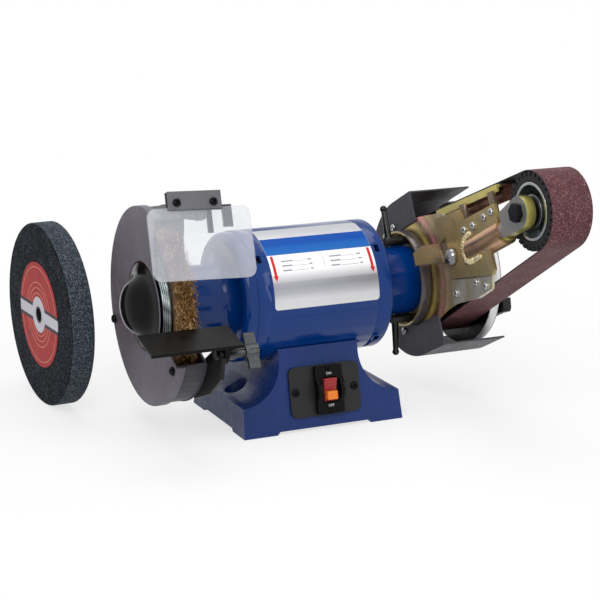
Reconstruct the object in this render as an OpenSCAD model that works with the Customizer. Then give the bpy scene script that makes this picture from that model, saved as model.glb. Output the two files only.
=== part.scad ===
// Bench grinder with a wire wheel on the left and a belt and disc sander on the right.
// X runs along the shaft, -Y is the front and Z is up.
// The origin is the middle of the base on the bench; sizes are in millimetres.

/* [Base] */
// Length of the base along the shaft
base_w = 203; // [190:1:230]
// Depth of the base from front to back
base_d = 159; // [152:1:175]
// Height of the motor's cradle
base_top = 96; // [92:0.5:98]
// Lean of the front and back faces in degrees
base_lean = 12.5; // [10:0.5:13]
// Draft of the two ends
base_draft = 6; // [0:0.5:8]
// Wall of the casting
base_wall = 8; // [6:0.5:10]
// Half width of the waist under the motor
waist_half = 50.5; // [48:0.5:56]
// Radius of the sweep between waist and foot
waist_r = 50; // [46:1:54]
// Height of the foot at the ends
foot_h = 34; // [28:1:38]
// Depth of the relief between pads
foot_relief = 3.5; // [2:0.5:5]
// Length of a corner pad along X
pad_x = 41.5; // [30:0.5:45]
// Length of a corner pad along Y
pad_y = 35; // [25:1:45]
// Half spacing of the bench bolts
bench_x = 79; // [74:1:84]
// Diameter of the bench bolt holes
bench_hole_d = 11; // [8:0.5:13]
// Diameter of a bench bolt's spot face
bench_spot_d = 27; // [20:1:30]
// Height of the spot face
bench_seat_h = 14; // [10:1:20]
// Thickness of the base's bottom sheet
bottom_t = 2; // [1.5:0.5:3]

/* [Switch] */
// Width of the switch plate
switch_plate_w = 89; // [80:1:92]
// Height of the switch plate
switch_plate_h = 58.5; // [56:0.5:62]
// Thickness of the switch plate
switch_plate_t = 3; // [2:0.5:4]
// Corner radius of the switch plate
switch_plate_r = 8; // [4:0.5:12]
// Sideways place of the switch plate
switch_x = 3; // [-4:0.5:4]
// Sideways place of the switch on the base
toggle_x = 6.5; // [0:0.5:10]
// Height of the switch up the front face
switch_v = 46; // [44:0.5:49]
// Width of the switch bezel
bezel_w = 34; // [30:1:38]
// Height of the switch bezel
bezel_h = 56; // [54:0.5:57]
// Thickness of the switch bezel
bezel_t = 6; // [4:0.5:7]
// Height of the cheeks beside the paddle
cheek_h = 12; // [8:0.5:14]
// Width of the paddle
paddle_w = 16; // [15:1:20]
// Length of the paddle
paddle_l = 26.5; // [25:0.5:32]
// Width of the safety key
key_w = 13; // [9:0.5:14]
// Length of the safety key
key_l = 10; // [8:0.5:12]
// Distance between the bezel screws
bezel_screw_pitch = 51; // [48:0.5:52]
// Distance between the plate screws
plate_screw_pitch = 75; // [66:0.5:78]
// Head diameter of the plate screws
plate_head_d = 9.5; // [8:0.5:11]
// Head diameter of the bezel screws
bezel_head_d = 6.5; // [5:0.5:8]

/* [Motor] */
// Height of the shaft above the bench
shaft_h = 148.5; // [146:0.5:152]
// Radius of the motor shell
motor_r = 76.8; // [74:0.2:78]
// Wall of the motor shell
shell_wall = 4; // [3:0.5:5]
// Reach of the shell to the left
shell_left = 66; // [62:1:80]
// Reach of the shell to the right
shell_right = 70; // [66:1:76]
// Length of the left end bell
left_bell_l = 31; // [20:1:38]
// Length of the right end bell
right_bell_l = 19; // [17:1:24]
// Rounding of the left end bell
left_round = 9; // [4:0.5:11]
// Rounding of the right end bell
right_round = 3; // [2:0.5:6]
// Radius of the left neck
left_neck_r = 41; // [39:0.5:46]
// Length of the left neck
left_neck_l = 58; // [52:1:66]
// Radius of the right neck
right_neck_r = 43.5; // [41:0.5:44]
// Length of the right neck
right_neck_l = 56; // [50:1:64]
// Fillet of the left neck
left_fillet = 16; // [8:1:18]
// Fillet of the right neck
right_fillet = 7; // [4:1:12]
// Diameter of the shaft in its bearings
shaft_d = 20; // [18:0.5:22]
// Diameter of the shaft under the rotor
rotor_seat_d = 26; // [24:0.5:30]
// Diameter of the two arbors
arbor_d = 15.88; // [12.7:0.02:17]
// Outer diameter of a motor bearing
bearing_od = 47; // [44:1:50]
// Width of a motor bearing
bearing_w = 14; // [12:1:15]
// Length of the stator and rotor stacks
stack_l = 80; // [70:1:90]
// Radius of the rotor
rotor_r = 42; // [38:0.5:44]
// Air gap between rotor and stator
air_gap = 0.5; // [0.4:0.1:1]
// Length of one end turn of the windings
end_turn_l = 18; // [12:1:20]
// Diameter of the through bolts
through_d = 5; // [4:0.5:6]
// Diameter of the run capacitor
capacitor_d = 34; // [28:1:36]
// Length of the run capacitor
capacitor_l = 58; // [45:1:66]
// Diameter of the cord gland's thread
gland_d = 14; // [12:0.5:18]

/* [Wire wheel] */
// Radius of the wire wheel
wheel_r = 100; // [92:0.5:101]
// Width of the wire wheel
wheel_w = 26; // [20:0.5:27]
// Radius of the wires' hub
wire_hub_r = 50; // [44:0.5:54]
// Columns of wires round the hub
wire_columns = 60; // [50:1:62]
// Rows of wires across the hub
wire_rows = 7; // [6:1:8]
// Radius of the wheel's face plates
face_plate_r = 77; // [72:0.5:85]
// Radius of the outer clamping flange
outer_flange_r = 38; // [30:1:42]
// Radius of the inner clamping flange
inner_flange_r = 26; // [20:1:27]
// Width of the arbor nut across flats
arbor_nut_af = 24; // [22:1:27]

/* [Wheel guard] */
// Outer radius of the guard drum
drum_r = 112; // [110:0.5:116]
// Inside width of the guard
guard_w = 33; // [32:0.5:36]
// Thickness of the guard sheet
sheet_t = 2; // [1.5:0.1:2.5]
// Width of the lip round the cover
cover_lip_w = 11; // [8:0.5:14]
// Distance from the shaft to the mouth's edge
mouth_y = 35; // [30:1:45]
// Depth of the mouth's lower corner below the shaft
mouth_low = 15; // [8:1:22]
// Slope of the mouth's lower edge in degrees
mouth_slope = 24; // [20:1:28]
// Radius of the disc round the hub
hub_disc_r = 52; // [45.5:0.5:54]
// Radius of the dome over the nut
dome_r = 50; // [42:0.5:51.5]
// Height of the dome over the nut
dome_h = 25.5; // [24:0.5:30]
// Radius of the dome's nose
nose_r = 32.5; // [30:0.5:36]
// Radius of the cover screws' circle
cover_screw_r = 107; // [106:0.5:108]
// Radius of the neck screws' circle
neck_screw_r = 33; // [31:0.5:35]

/* [Eye shield] */
// Width of the clear shield
shield_w = 118; // [100:1:130]
// Length of the clear shield
shield_l = 79; // [65:1:88]
// Thickness of the clear shield
shield_t = 3; // [2:0.5:4]
// Corner radius of the clear shield
shield_r = 10; // [6:1:14]
// Lean of the clear shield in degrees
shield_lean = 22; // [16:1:28]
// Sideways place of the shield's middle
shield_x = -161; // [-166:0.5:-158]
// Reach of the shield's top edge
shield_y = 95; // [90:0.5:100]
// Height of the shield's top edge
shield_z = 277; // [274:0.5:282]
// Length of the clamp bar
clamp_bar_l = 61; // [56:1:70]
// Height of the clamp bar
clamp_bar_h = 20; // [18:0.5:22]
// Thickness of the shield's metal parts
shield_metal_t = 3; // [2:0.5:4]
// Set-back of the shield's pivot
shield_pivot_back = 26; // [22:0.5:30]
// Diameter of the shield's pivot bolt
shield_pivot_d = 8; // [6:0.5:8]

/* [Tool rest] */
// Width of the rest plate
rest_w = 106; // [95:1:112]
// Depth of the rest plate
rest_depth = 47; // [42:1:54]
// Thickness of the rest plate
rest_t = 4; // [3:0.5:6]
// Slope of the rest plate in degrees
rest_slope = 13.5; // [8:0.5:16]
// Right end of the rest plate
rest_x = -131; // [-134:0.5:-128]
// Place of the back edge in front of the shaft
rest_back_y = 104; // [103.5:0.5:108]
// Height of the back edge above the bench
rest_back_z = 145; // [143:0.5:148]
// Reach of the rest's pivot
rest_pivot_y = 132; // [130:0.5:134]
// Height of the rest's pivot
rest_pivot_z = 121; // [119.5:0.5:122]
// Diameter of the rest's clamp bolt
rest_bolt_d = 8; // [6:0.5:8]
// Thickness of the rest's bracket
rest_bracket_t = 4; // [3:0.5:5]
// Lean of the bracket's slot in degrees
rest_slide_angle = 37; // [34:0.5:40]
// Distance from the pivot to the upper bolt
rest_slot_reach = 55; // [53:0.5:58]
// Distance between the bracket bolts
rest_bolt_pitch = 20; // [18:0.5:22]
// Travel of the bracket inwards
rest_travel_in = 2; // [1:0.5:3]
// Travel of the bracket outwards
rest_travel_out = 12; // [8:0.5:13]
// Span of the wings on the clamp bolt
wing_span = 40; // [30:1:44]

/* [Swivel mount] */
// Thickness of the mounting ring's flange
ring_t = 4; // [3:0.5:5]
// Radius of the mounting ring's flange
ring_r = 58; // [57.5:0.1:58.4]
// Radius of the sander's collar
collar_r = 30; // [27:0.5:31]
// Length of the collar
collar_l = 7.5; // [7:0.1:8]
// Thickness of the zinc plates
zinc_t = 4; // [3.5:0.1:4.5]
// Radius of the swivel plate
swivel_r = 75; // [74:0.5:78]
// Radius of the clamp studs' circle
stud_circle_r = 49.5; // [49:0.1:50]
// Diameter of the clamp studs
stud_d = 8; // [6:0.5:8]
// Diameter of the clamp levers' hubs
lever_hub_d = 10; // [7.5:0.5:10.5]
// Length of the clamp levers' hubs
lever_hub_l = 32; // [22:1:34]
// Length of the clamp levers' handles
lever_l = 40; // [32:1:46]
// Swing of the sander in degrees
swivel_travel = 90; // [80:1:94]

/* [Belt sander] */
// Rise of the arm above the horizontal in degrees
arm_angle = 26.9; // [24:0.1:30]
// Width of the sanding belt
belt_w = 50.8; // [46:0.2:54]
// Thickness of the sanding belt
belt_t = 1.5; // [1:0.1:2]
// Room between the swivel plate and the belt
belt_side_gap = 7.3; // [7:0.1:9]
// Radius of the drive wheel
drive_r = 66.7; // [64:0.1:68]
// Radius of the contact wheel
contact_r = 43.3; // [41:0.1:45]
// Distance between the two wheels
wheel_pitch = 276; // [272:0.5:284]
// Radius of the contact wheel's hub
contact_hub_r = 32; // [29:0.5:34]
// Number of cuts across the tyre
tyre_cuts = 30; // [20:1:36]
// Diameter of the contact wheel's axle
axle_d = 12; // [10:0.5:13]
// Outer diameter of a contact wheel bearing
axle_bearing_od = 32; // [28:0.5:34]
// Width of a contact wheel bearing
axle_bearing_w = 10; // [8:0.5:12]
// Outer diameter of the arm tube
tube_d = 30; // [28:0.5:30]
// Bore of the arm tube
tube_bore = 24; // [22:0.5:25]
// Start of the arm tube along the arm
tube_start = 150; // [148:0.5:154]
// End of the arm tube along the arm
tube_end = 231.5; // [225:0.5:232]
// Drop of the arm tube below the axle's line
tube_drop = 8; // [6:0.5:9]
// Travel of the axle bar
tension_travel = 6; // [4:0.5:10]
// Free length of the tension spring
spring_l = 24; // [22:0.5:28]
// Wire of the tension spring
spring_wire = 2.2; // [1.6:0.1:2.6]
// Turns of the tension spring
spring_turns = 4; // [3:0.5:5]
// Start of the platen along the top run
platen_start = 85; // [75:1:95]
// End of the platen along the top run
platen_end = 228; // [210:1:229]
// Thickness of the platen
platen_t = 3; // [2:0.5:4]
// Thickness of the platen's pad
pad_t = 2; // [1:0.5:3]
// Depth of the platen's side flange
platen_flange = 8; // [7:0.5:12]

/* [Sander guards and disc] */
// Outer radius of the sander's guards
sander_guard_r = 96; // [94:0.5:99]
// Width of the sander's guards
sander_guard_w = 83; // [82:0.5:88]
// Height of the guards' inner edges
sander_guard_in = 58.5; // [58:0.1:59]
// Reach of the guards behind the shaft
sander_guard_rear = 68; // [60:1:72]
// Reach of the upper guard along the arm
upper_guard_front = 46; // [40:1:56]
// Reach of the lower guard along the arm
lower_guard_front = 54; // [48:1:60]
// Radius of the sanding disc
disc_r = 88; // [80:0.5:90]
// Thickness of the disc's plate
disc_t = 10; // [9:0.5:11]
// Room between the belt and the disc's plate
disc_gap = 3; // [2.5:0.1:4]
// Thickness of the abrasive on the disc
abrasive_t = 1.2; // [0.8:0.1:1.6]
// Width of the bracket for the disc's table
table_bracket_w = 11; // [8:0.5:14]

/* [Spare wheel] */
// Radius of the spare stone wheel
stone_r = 110.5; // [90:0.5:115]
// Thickness of the spare stone wheel
stone_w = 28.5; // [20:0.5:30]
// Radius of the blotters
blotter_r = 64; // [45:0.5:66]
// Thickness of the blotters
blotter_t = 0.6; // [0.5:0.1:1]
// Sideways place of the spare wheel
stone_x = -255; // [-275:1:-245]
// Place of the spare wheel behind the shaft
stone_y = 155; // [110:1:170]
// Turn of the stone in degrees
stone_turn = 3.3; // [0:0.1:8]

/* [Clearances] */
// Gap between moving faces
slip = 0.3; // [0.25:0.05:0.4]
// Radial clearance of a pin in its bore
fit = 0.04; // [0.02:0.01:0.08]

/* [Hidden] */
$fn = 64;
// Overlap of a cutting tool
over = 1;
// Sides of a hexagon head or nut
hex_sides = 6;

// Places along the shaft, out to the left
left_face_x = -(shell_left + left_bell_l);
left_end_x = left_face_x - left_neck_l;
guard_back_x = left_end_x - sheet_t;
left_shoulder_x = guard_back_x - 1;
inner_flange_t = 3.5;
wheel_right_x = left_shoulder_x - inner_flange_t;
wheel_left_x = wheel_right_x - wheel_w;
outer_flange_t = 1.6;
flange_boss_l = 6;
nut_x = wheel_left_x - outer_flange_t - flange_boss_l;
arbor_nut_l = 10;
left_tip_x = nut_x - arbor_nut_l - 3;
cover_in_x = guard_back_x - guard_w;
cover_out_x = cover_in_x - sheet_t;

// Places along the shaft, out to the right
right_face_x = shell_right + right_bell_l;
right_end_x = right_face_x + right_neck_l;
ring_face_x = right_end_x + ring_t;
arm_plate_x = ring_face_x + sheet_t - zinc_t;
swivel_x = ring_face_x + sheet_t;
swivel_back_x = swivel_x + zinc_t;
belt_x = swivel_back_x + belt_side_gap;
belt_end_x = belt_x + belt_w;
right_shoulder_x = swivel_back_x + 3;
disc_x = belt_end_x + disc_gap;
disc_face_x = disc_x + disc_t;
right_tip_x = disc_x + disc_t / 2;
guard_end_x = ring_face_x + sander_guard_w;

// Bearings inside the two necks
bearing_lead = 2;
left_bearing_x = left_face_x - bearing_lead - bearing_w;
right_bearing_x = right_face_x + bearing_lead;
bearing_r = bearing_od / 2;
shaft_hole_r = shaft_d / 2 + 3;

// Corners of the through bolts
through_r = motor_r - shell_wall - through_d / 2 - 1;
through_angles = [45, 135, 225, 315];
pocket_w = 10;
pocket_depth = 11;
pocket_floor = 4;
bolt_head_h = 4;

// Polar places of the levers
upper_stud_angle = 55;
lower_stud_angle = -86;
upper_handle_angle = 86;
lower_handle_angle = -112;

// Straight runs, tangent to both wheels
belt_gap = slip;
run_s = (drive_r - contact_r) / wheel_pitch;
run_c = sqrt(1 - run_s * run_s);
run_tilt = asin(run_s);
belt_in = drive_r + belt_gap;
platen_under = belt_in - slip - pad_t - platen_t;

// Base interior
cavity_half = waist_half - base_wall;
cavity_top = shaft_h - motor_r - base_wall + 2;
base_roof = shaft_h - motor_r;

// Half depth of the base at a height
function lean_y(z) = base_d / 2 - z * tan(base_lean);
// Height parallel to the top run
function run_n(a, z) = (z - run_s * a) / run_c;
// Point on the arm's side view
function arm_point(a, n) = [-a, n];
function arm_points(list) = [for (p = list) arm_point(p[0], p[1])];
// Point round the shaft, 0 to the front, 90 up
function polar_point(r, angle) = [-r * cos(angle), r * sin(angle)];

// Frames of the sub-parts
module on_shaft() {
    translate([0, 0, shaft_h]) children();
}
module on_arm() {
    on_shaft() rotate([-arm_angle, 0, 0]) children();
}
module on_top_run() {
    on_arm() rotate([run_tilt, 0, 0]) children();
}
module at_polar(r, angle) {
    translate(concat([0], polar_point(r, angle))) children();
}
module on_face() {
    translate([0, -base_d / 2, 0]) rotate([90 - base_lean, 0, 0]) children();
}
module on_switch() {
    on_face() translate([toggle_x, switch_v, switch_plate_t]) children();
}
module on_back() {
    mirror([0, 1, 0]) on_face() children();
}
module on_shield() {
    translate([shield_x, -shield_y, shield_z]) rotate([-shield_lean, 0, 0]) children();
}
module on_rest_slot(reach) {
    translate([0, -rest_pivot_y, rest_pivot_z]) rotate([-rest_slide_angle, 0, 0])
        translate([0, reach, 0]) children();
}
module at_stone() {
    translate([stone_x, stone_y, stone_r]) rotate([0, 0, stone_turn]) children();
}

// Plain shapes that many sub-parts share
module xcyl(x0, x1, r) {
    translate([x0, 0, 0]) rotate([0, 90, 0]) cylinder(r = r, h = x1 - x0);
}
module xtube(x0, x1, r_out, r_in) {
    difference() {
        xcyl(x0, x1, r_out);
        xcyl(x0 - over, x1 + over, r_in);
    }
}
module xhex(x0, x1, across) {
    translate([x0, 0, 0]) rotate([0, 90, 0])
        cylinder(d = across / cos(180 / hex_sides), h = x1 - x0, $fn = hex_sides);
}
// Outline in Y and Z, given its thickness along X
module side_plate(x0, x1) {
    translate([x0, 0, 0]) rotate([90, 0, 90]) linear_extrude(height = x1 - x0) children();
}
// Outline in X and Z, given its depth along Y
module front_plate(y0, y1) {
    translate([0, y1, 0]) rotate([90, 0, 0]) linear_extrude(height = y1 - y0) children();
}
// Outline of radius and X, turned round X
module spin_x() {
    rotate([0, 90, 0]) rotate_extrude() children();
}
module box_2d(r0, r1, x0, x1) {
    translate([r0, x0]) square([r1 - r0, x1 - x0]);
}
module rounded_2d(w, h, r) {
    square([w - 2 * r, h], center = true);
    square([w, h - 2 * r], center = true);
    for (sx = [-1, 1], sy = [-1, 1])
        translate([sx * (w / 2 - r), sy * (h / 2 - r)]) circle(r);
}
module slot_2d(length, width) {
    square([length, width], center = true);
    for (s = [-1, 1])
        translate([s * length / 2, 0]) circle(d = width);
}
module arm_rod(a0, a1, r, x, n) {
    translate([x, -a0, n]) rotate([90, 0, 0]) cylinder(r = r, h = a1 - a0);
}
module pan_screw(x0, x1, head_x, shank_r, head_r) {
    xcyl(min(x0, x1), max(x0, x1), shank_r);
    xcyl(min(head_x, x0), max(head_x, x0), head_r);
}

// Cast base
module base_front_outline() {
    difference() {
        polygon([[-base_w / 2, 0], [base_w / 2, 0],
            [base_w / 2 - base_draft, base_top], [base_draft - base_w / 2, base_top]]);
        for (s = [-1, 1])
            translate([s * (waist_half + waist_r), foot_h + waist_r]) {
                circle(waist_r);
                translate([-waist_r, 0]) square([2 * waist_r, base_top]);
            }
    }
}
module base_side_outline(inset) {
    polygon([[inset - lean_y(0), 0], [lean_y(0) - inset, 0],
        [lean_y(base_top) - inset, base_top], [inset - lean_y(base_top), base_top]]);
}
module base_cavity(gap) {
    intersection() {
        translate([gap - cavity_half, -base_d, -over])
            cube([2 * (cavity_half - gap), 2 * base_d, cavity_top + over]);
        side_plate(-base_w, base_w) union() {
            base_side_outline(base_wall + gap);
            translate([base_wall + gap - lean_y(0), -2 * over])
                square([2 * (lean_y(0) - base_wall - gap), 2 * over]);
        }
    }
}
// Relief between two pads, with sloped ends
module relief_2d(half) {
    polygon([[-half - over, -over], [half + over, -over],
        [half - foot_relief, foot_relief], [foot_relief - half, foot_relief]]);
}
module bench_bolt_places() {
    for (s = [-1, 1])
        translate([s * bench_x, 0, 0]) children();
}
module base() {
    color("royalblue") difference() {
        intersection() {
            front_plate(-base_d, base_d) base_front_outline();
            side_plate(-base_w, base_w) base_side_outline(0);
        }
        on_shaft() xcyl(-base_w, base_w, motor_r + fit);
        base_cavity(0);
        difference() {
            union() {
                front_plate(-base_d, base_d) relief_2d(base_w / 2 - pad_x);
                side_plate(-base_w, base_w) relief_2d(base_d / 2 - pad_y);
            }
            bench_bolt_places() cylinder(d = bench_spot_d, h = 2 * foot_relief, center = true);
        }
        bench_bolt_places() {
            translate([0, 0, -over]) cylinder(d = bench_hole_d, h = base_top);
            translate([0, 0, bench_seat_h]) cylinder(d = bench_spot_d, h = base_top);
        }
        switch_cutout(fit);
        switch_screw_holes();
        on_back() translate([0, gland_v, -2 * base_wall])
            cylinder(r = gland_d / 2 + fit, h = 3 * base_wall);
        motor_bolt_places() cylinder(r = through_d / 2 + fit, h = base_top);
    }
}
module bottom_plate() {
    color("dimgray") difference() {
        intersection() {
            base_cavity(slip);
            translate([-base_w, -base_d, foot_relief]) cube([2 * base_w, 2 * base_d, bottom_t]);
        }
        translate([0, 0, foot_relief - over]) cylinder(d = vent_d, h = bottom_t + 2 * over);
    }
}
vent_d = 30;

// Cord gland in the back of the base
gland_v = 38;
gland_flange_h = 4;
gland_tip_h = 9;
gland_nut_t = 5;
gland_bore_r = 4;
module cord_gland() {
    color("black") on_back() translate([0, gland_v, 0]) difference() {
        union() {
            cylinder(d = 1.5 * gland_d, h = gland_flange_h);
            cylinder(d = gland_d, h = gland_tip_h);
            translate([0, 0, -base_wall - gland_nut_t]) cylinder(d = gland_d, h = base_wall + gland_nut_t);
            translate([0, 0, -base_wall * cos(base_lean) - gland_nut_t])
                cylinder(d = 1.5 * gland_d, h = gland_nut_t, $fn = hex_sides);
        }
        translate([0, 0, -base_wall - gland_nut_t - over])
            cylinder(r = gland_bore_r, h = base_wall + gland_nut_t + gland_tip_h + 2 * over);
    }
}

// Run capacitor on the bottom plate
capacitor_y = 22;
module capacitor() {
    color("lightgray")
        translate([0, capacitor_y, foot_relief + bottom_t + capacitor_d / 2])
            xcyl(-capacitor_l / 2, capacitor_l / 2, capacitor_d / 2);
}

// Switch with plate, paddle and key
switch_body_w = 30;
switch_body_h = 44;
switch_depth = 30;
switch_shank_d = 3.5;
switch_screw_l = 8;
switch_head_h = 2.2;
window_gap = 1.5;
paddle_axis = 2;
paddle_back = 5;
paddle_face = 5;
paddle_peak = 9;
key_v = -6.5;
key_out = 13;
key_in = 1;
recess_floor = -9;
cheek_t = 5;
cheek_l = 36;
module switch_cutout(gap) {
    on_switch() translate([-switch_body_w / 2 - gap, -switch_body_h / 2 - gap, -switch_depth - over])
        cube([switch_body_w + 2 * gap, switch_body_h + 2 * gap, switch_depth + 2 * over]);
}
// Two plate screws and two bezel screws
module plate_hole_places() {
    on_face() for (s = [-1, 1])
        translate([switch_x + s * plate_screw_pitch / 2, switch_v, switch_plate_t]) children();
}
module bezel_hole_places() {
    on_switch() for (s = [-1, 1])
        translate([0, s * bezel_screw_pitch / 2, 0]) children();
}
module switch_screw_hole() {
    translate([0, 0, -switch_screw_l]) cylinder(d = switch_shank_d + 2 * fit, h = 2 * switch_screw_l);
}
module switch_screw_holes() {
    plate_hole_places() switch_screw_hole();
    bezel_hole_places() switch_screw_hole();
}
module switch_plate() {
    color([0.12, 0.11, 0.11]) difference() {
        on_face() translate([switch_x, switch_v, 0])
            linear_extrude(height = switch_plate_t)
                rounded_2d(switch_plate_w, switch_plate_h, switch_plate_r);
        switch_cutout(fit);
        switch_screw_holes();
    }
}
module switch_body() {
    color([0.08, 0.08, 0.08]) difference() {
        on_switch() union() {
            translate([-switch_body_w / 2, -switch_body_h / 2, -switch_depth])
                cube([switch_body_w, switch_body_h, switch_depth]);
            linear_extrude(height = bezel_t) rounded_2d(bezel_w, bezel_h, cheek_t / 2);
            for (s = [-1, 1])
                translate([s * (bezel_w - cheek_t) / 2, 0, 0]) intersection() {
                    translate([-cheek_t / 2, -cheek_l / 2, 0]) cube([cheek_t, cheek_l, cheek_h]);
                    translate([-cheek_t, 0, cheek_h - cheek_l / 2 - 2]) rotate([0, 90, 0])
                        cylinder(r = cheek_l / 2 + 2, h = 2 * cheek_t);
                }
        }
        on_switch() translate([-paddle_w / 2 - window_gap / 2, -paddle_l / 2 - window_gap, recess_floor])
            cube([paddle_w + window_gap, paddle_l + 2 * window_gap, bezel_t - recess_floor + cheek_h]);
        switch_screw_holes();
    }
}
module key_shape(gap) {
    translate([-key_w / 2 - gap, key_v - key_l / 2 - gap, key_in - gap])
        cube([key_w + 2 * gap, key_l + 2 * gap, key_out - key_in + gap]);
}
module switch_paddle() {
    color("firebrick") on_switch() difference() {
        translate([0, 0, paddle_axis]) side_plate(-paddle_w / 2, paddle_w / 2)
            polygon([[-paddle_l / 2, -paddle_back], [paddle_l / 2, -paddle_back],
                [paddle_l / 2, paddle_peak], [0, paddle_face], [-paddle_l / 2, paddle_face]]);
        key_shape(slip);
    }
}
module safety_key() {
    color("darkorange") on_switch() key_shape(0);
}
module switch_screws() {
    color([0.1, 0.1, 0.1]) {
        plate_hole_places() switch_screw(0, plate_head_d);
        bezel_hole_places() switch_screw(bezel_t, bezel_head_d);
    }
}
module switch_screw(lift, head_d) {
    translate([0, 0, -switch_screw_l]) cylinder(d = switch_shank_d, h = switch_screw_l + lift);
    translate([0, 0, lift]) cylinder(d = head_d, h = switch_head_h);
}

// Motor: shell, bells, stator, rotor and shaft
motor_bolt_x = 25;
motor_bolt_head = 4;
bell_wall = 8;
bell_lip = 15;
module motor_bolt_places() {
    for (s = [-1, 1])
        translate([s * motor_bolt_x, 0, cavity_top - motor_bolt_head - over]) children();
}
module through_places() {
    on_shaft() for (a = through_angles)
        rotate([a, 0, 0]) translate([0, 0, through_r]) children();
}
module motor_shell() {
    color("royalblue") difference() {
        on_shaft() xtube(-shell_left, shell_right, motor_r, motor_r - shell_wall);
        motor_bolt_places() cylinder(r = through_d / 2 + fit, h = base_top);
    }
}
// End bell and neck, from the shell out
module bell_outline(r, lip, bell_l, neck_r, neck_l, round_r, fillet_r) {
    cavity_r = through_r - pocket_depth / 2 - 3;
    difference() {
        union() {
            box_2d(0, motor_r, 0, lip);
            box_2d(0, r, 0, bell_l - round_r);
            box_2d(0, r - round_r, 0, bell_l);
            translate([r - round_r, bell_l - round_r]) circle(round_r);
            box_2d(0, neck_r, 0, bell_l + neck_l);
            box_2d(0, neck_r + fillet_r, 0, bell_l + fillet_r);
        }
        translate([neck_r + fillet_r, bell_l + fillet_r]) circle(fillet_r);
        box_2d(-over, cavity_r, -over, bell_l - bell_wall);
        box_2d(-over, bearing_r + fit, 0, bell_l + bearing_lead + bearing_w);
        box_2d(-over, shaft_hole_r, 0, bell_l + neck_l + over);
        box_2d(-2 * r, 0, -over, bell_l + neck_l + over);
    }
}
// Through bolt holes and pockets
module bell_bolt_cuts(bell_l) {
    through_places() {
        xcyl(-over, bell_l, through_d / 2 + fit);
        translate([pocket_floor, -pocket_w / 2, -pocket_depth / 2])
            cube([bolt_head_h + 2, pocket_w, pocket_depth + shell_wall + through_d]);
    }
}
module left_end_bell() {
    color("royalblue") difference() {
        mirror([1, 0, 0]) translate([shell_left, 0, 0]) difference() {
            on_shaft() spin_x()
                bell_outline(motor_r - 1, bell_lip, left_bell_l, left_neck_r, left_neck_l,
                    left_round, left_fillet);
            bell_bolt_cuts(left_bell_l);
        }
        neck_screw_places() xcyl(left_end_x - over, left_end_x + neck_screw_l + over, neck_screw_d / 2 + fit);
    }
}
module right_end_bell() {
    color("royalblue") difference() {
        translate([shell_right, 0, 0]) difference() {
            on_shaft() spin_x()
                bell_outline(motor_r, 1, right_bell_l, right_neck_r, right_neck_l, right_round, right_fillet);
            bell_bolt_cuts(right_bell_l);
        }
        ring_screw_places() xcyl(right_end_x - neck_screw_l, right_end_x + over, neck_screw_d / 2 + fit);
    }
}
module stator_core() {
    color("slategray") difference() {
        on_shaft() xtube(-stack_l / 2, stack_l / 2, motor_r - shell_wall - fit, rotor_r + air_gap);
        through_places() xcyl(-stack_l, stack_l, through_d / 2 + 2 * fit);
    }
}
module windings() {
    turn_r = (rotor_r + through_r) / 2;
    turn_half = 8;
    color("peru") on_shaft() for (s = [-1, 1]) {
        x0 = s > 0 ? stack_l / 2 : -stack_l / 2 - end_turn_l;
        xtube(x0, x0 + end_turn_l, turn_r + turn_half, turn_r - turn_half);
    }
}
module rotor_core() {
    color("silver") on_shaft() xtube(-stack_l / 2, stack_l / 2, rotor_r, rotor_seat_d / 2 + fit);
}
module shaft() {
    color("lightsteelblue") on_shaft() {
        xcyl(left_bearing_x + bearing_w, right_bearing_x, rotor_seat_d / 2);
        xcyl(left_shoulder_x, right_shoulder_x, shaft_d / 2);
        xcyl(left_tip_x, right_tip_x, arbor_d / 2);
    }
}
module motor_bearings() {
    color("silver") on_shaft() for (x = [left_bearing_x, right_bearing_x])
        xtube(x, x + bearing_w, bearing_r, shaft_d / 2 + fit);
}
module through_bolts() {
    left_seat = shell_left + pocket_floor;
    right_seat = shell_right + pocket_floor;
    color("gray") {
        through_places() {
            xcyl(-left_seat - bolt_head_h, right_seat + bolt_head_h, through_d / 2);
            xhex(-left_seat - bolt_head_h, -left_seat, 1.6 * through_d);
            xhex(right_seat, right_seat + bolt_head_h, 1.6 * through_d);
        }
        motor_bolt_places() {
            translate([0, 0, over]) cylinder(d = 1.7 * through_d, h = motor_bolt_head);
            translate([0, 0, over])
                cylinder(d = through_d, h = base_roof - cavity_top + motor_bolt_head + shell_wall - over);
        }
    }
}

// Wheel guard: housing and cover
neck_screw_d = 6;
neck_screw_l = 14;
neck_head_h = 1.8;
neck_head_r = 4.5;
neck_screw_angles = [30, 150, 270];
cover_screw_angles = [201, -29];
cover_boss_r = 4;
cover_screw_d = 4;
cover_screw_l = 14;
cover_head_h = 4;
cover_head_r = 5;
guard_bolt_z = 94;
guard_bolt_ys = [-20, -4];
mouth_reach = 1.3 * drum_r;
module mouth_2d() {
    polygon([[-mouth_y, mouth_reach], [-mouth_y, -mouth_low],
        [-mouth_reach, -mouth_low - (mouth_reach - mouth_y) * tan(mouth_slope)],
        [-mouth_reach, mouth_reach]]);
}
module mouth_round_hub_2d() {
    difference() {
        mouth_2d();
        circle(max(hub_disc_r, dome_r + sheet_t));
    }
}
module neck_screw_places() {
    on_shaft() for (a = neck_screw_angles)
        at_polar(neck_screw_r, a) children();
}
module cover_screw_places() {
    on_shaft() for (a = cover_screw_angles)
        at_polar(cover_screw_r, a) children();
}
module shield_bolt_places() {
    on_shaft() for (y = guard_bolt_ys)
        translate([0, y, guard_bolt_z]) children();
}
module rest_bolt_places() {
    for (k = [0, 1])
        on_rest_slot(rest_slot_reach + k * rest_bolt_pitch) children();
}
module back_hole() {
    xcyl(guard_back_x - over, left_end_x + over, neck_screw_d / 2 + fit);
}
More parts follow.
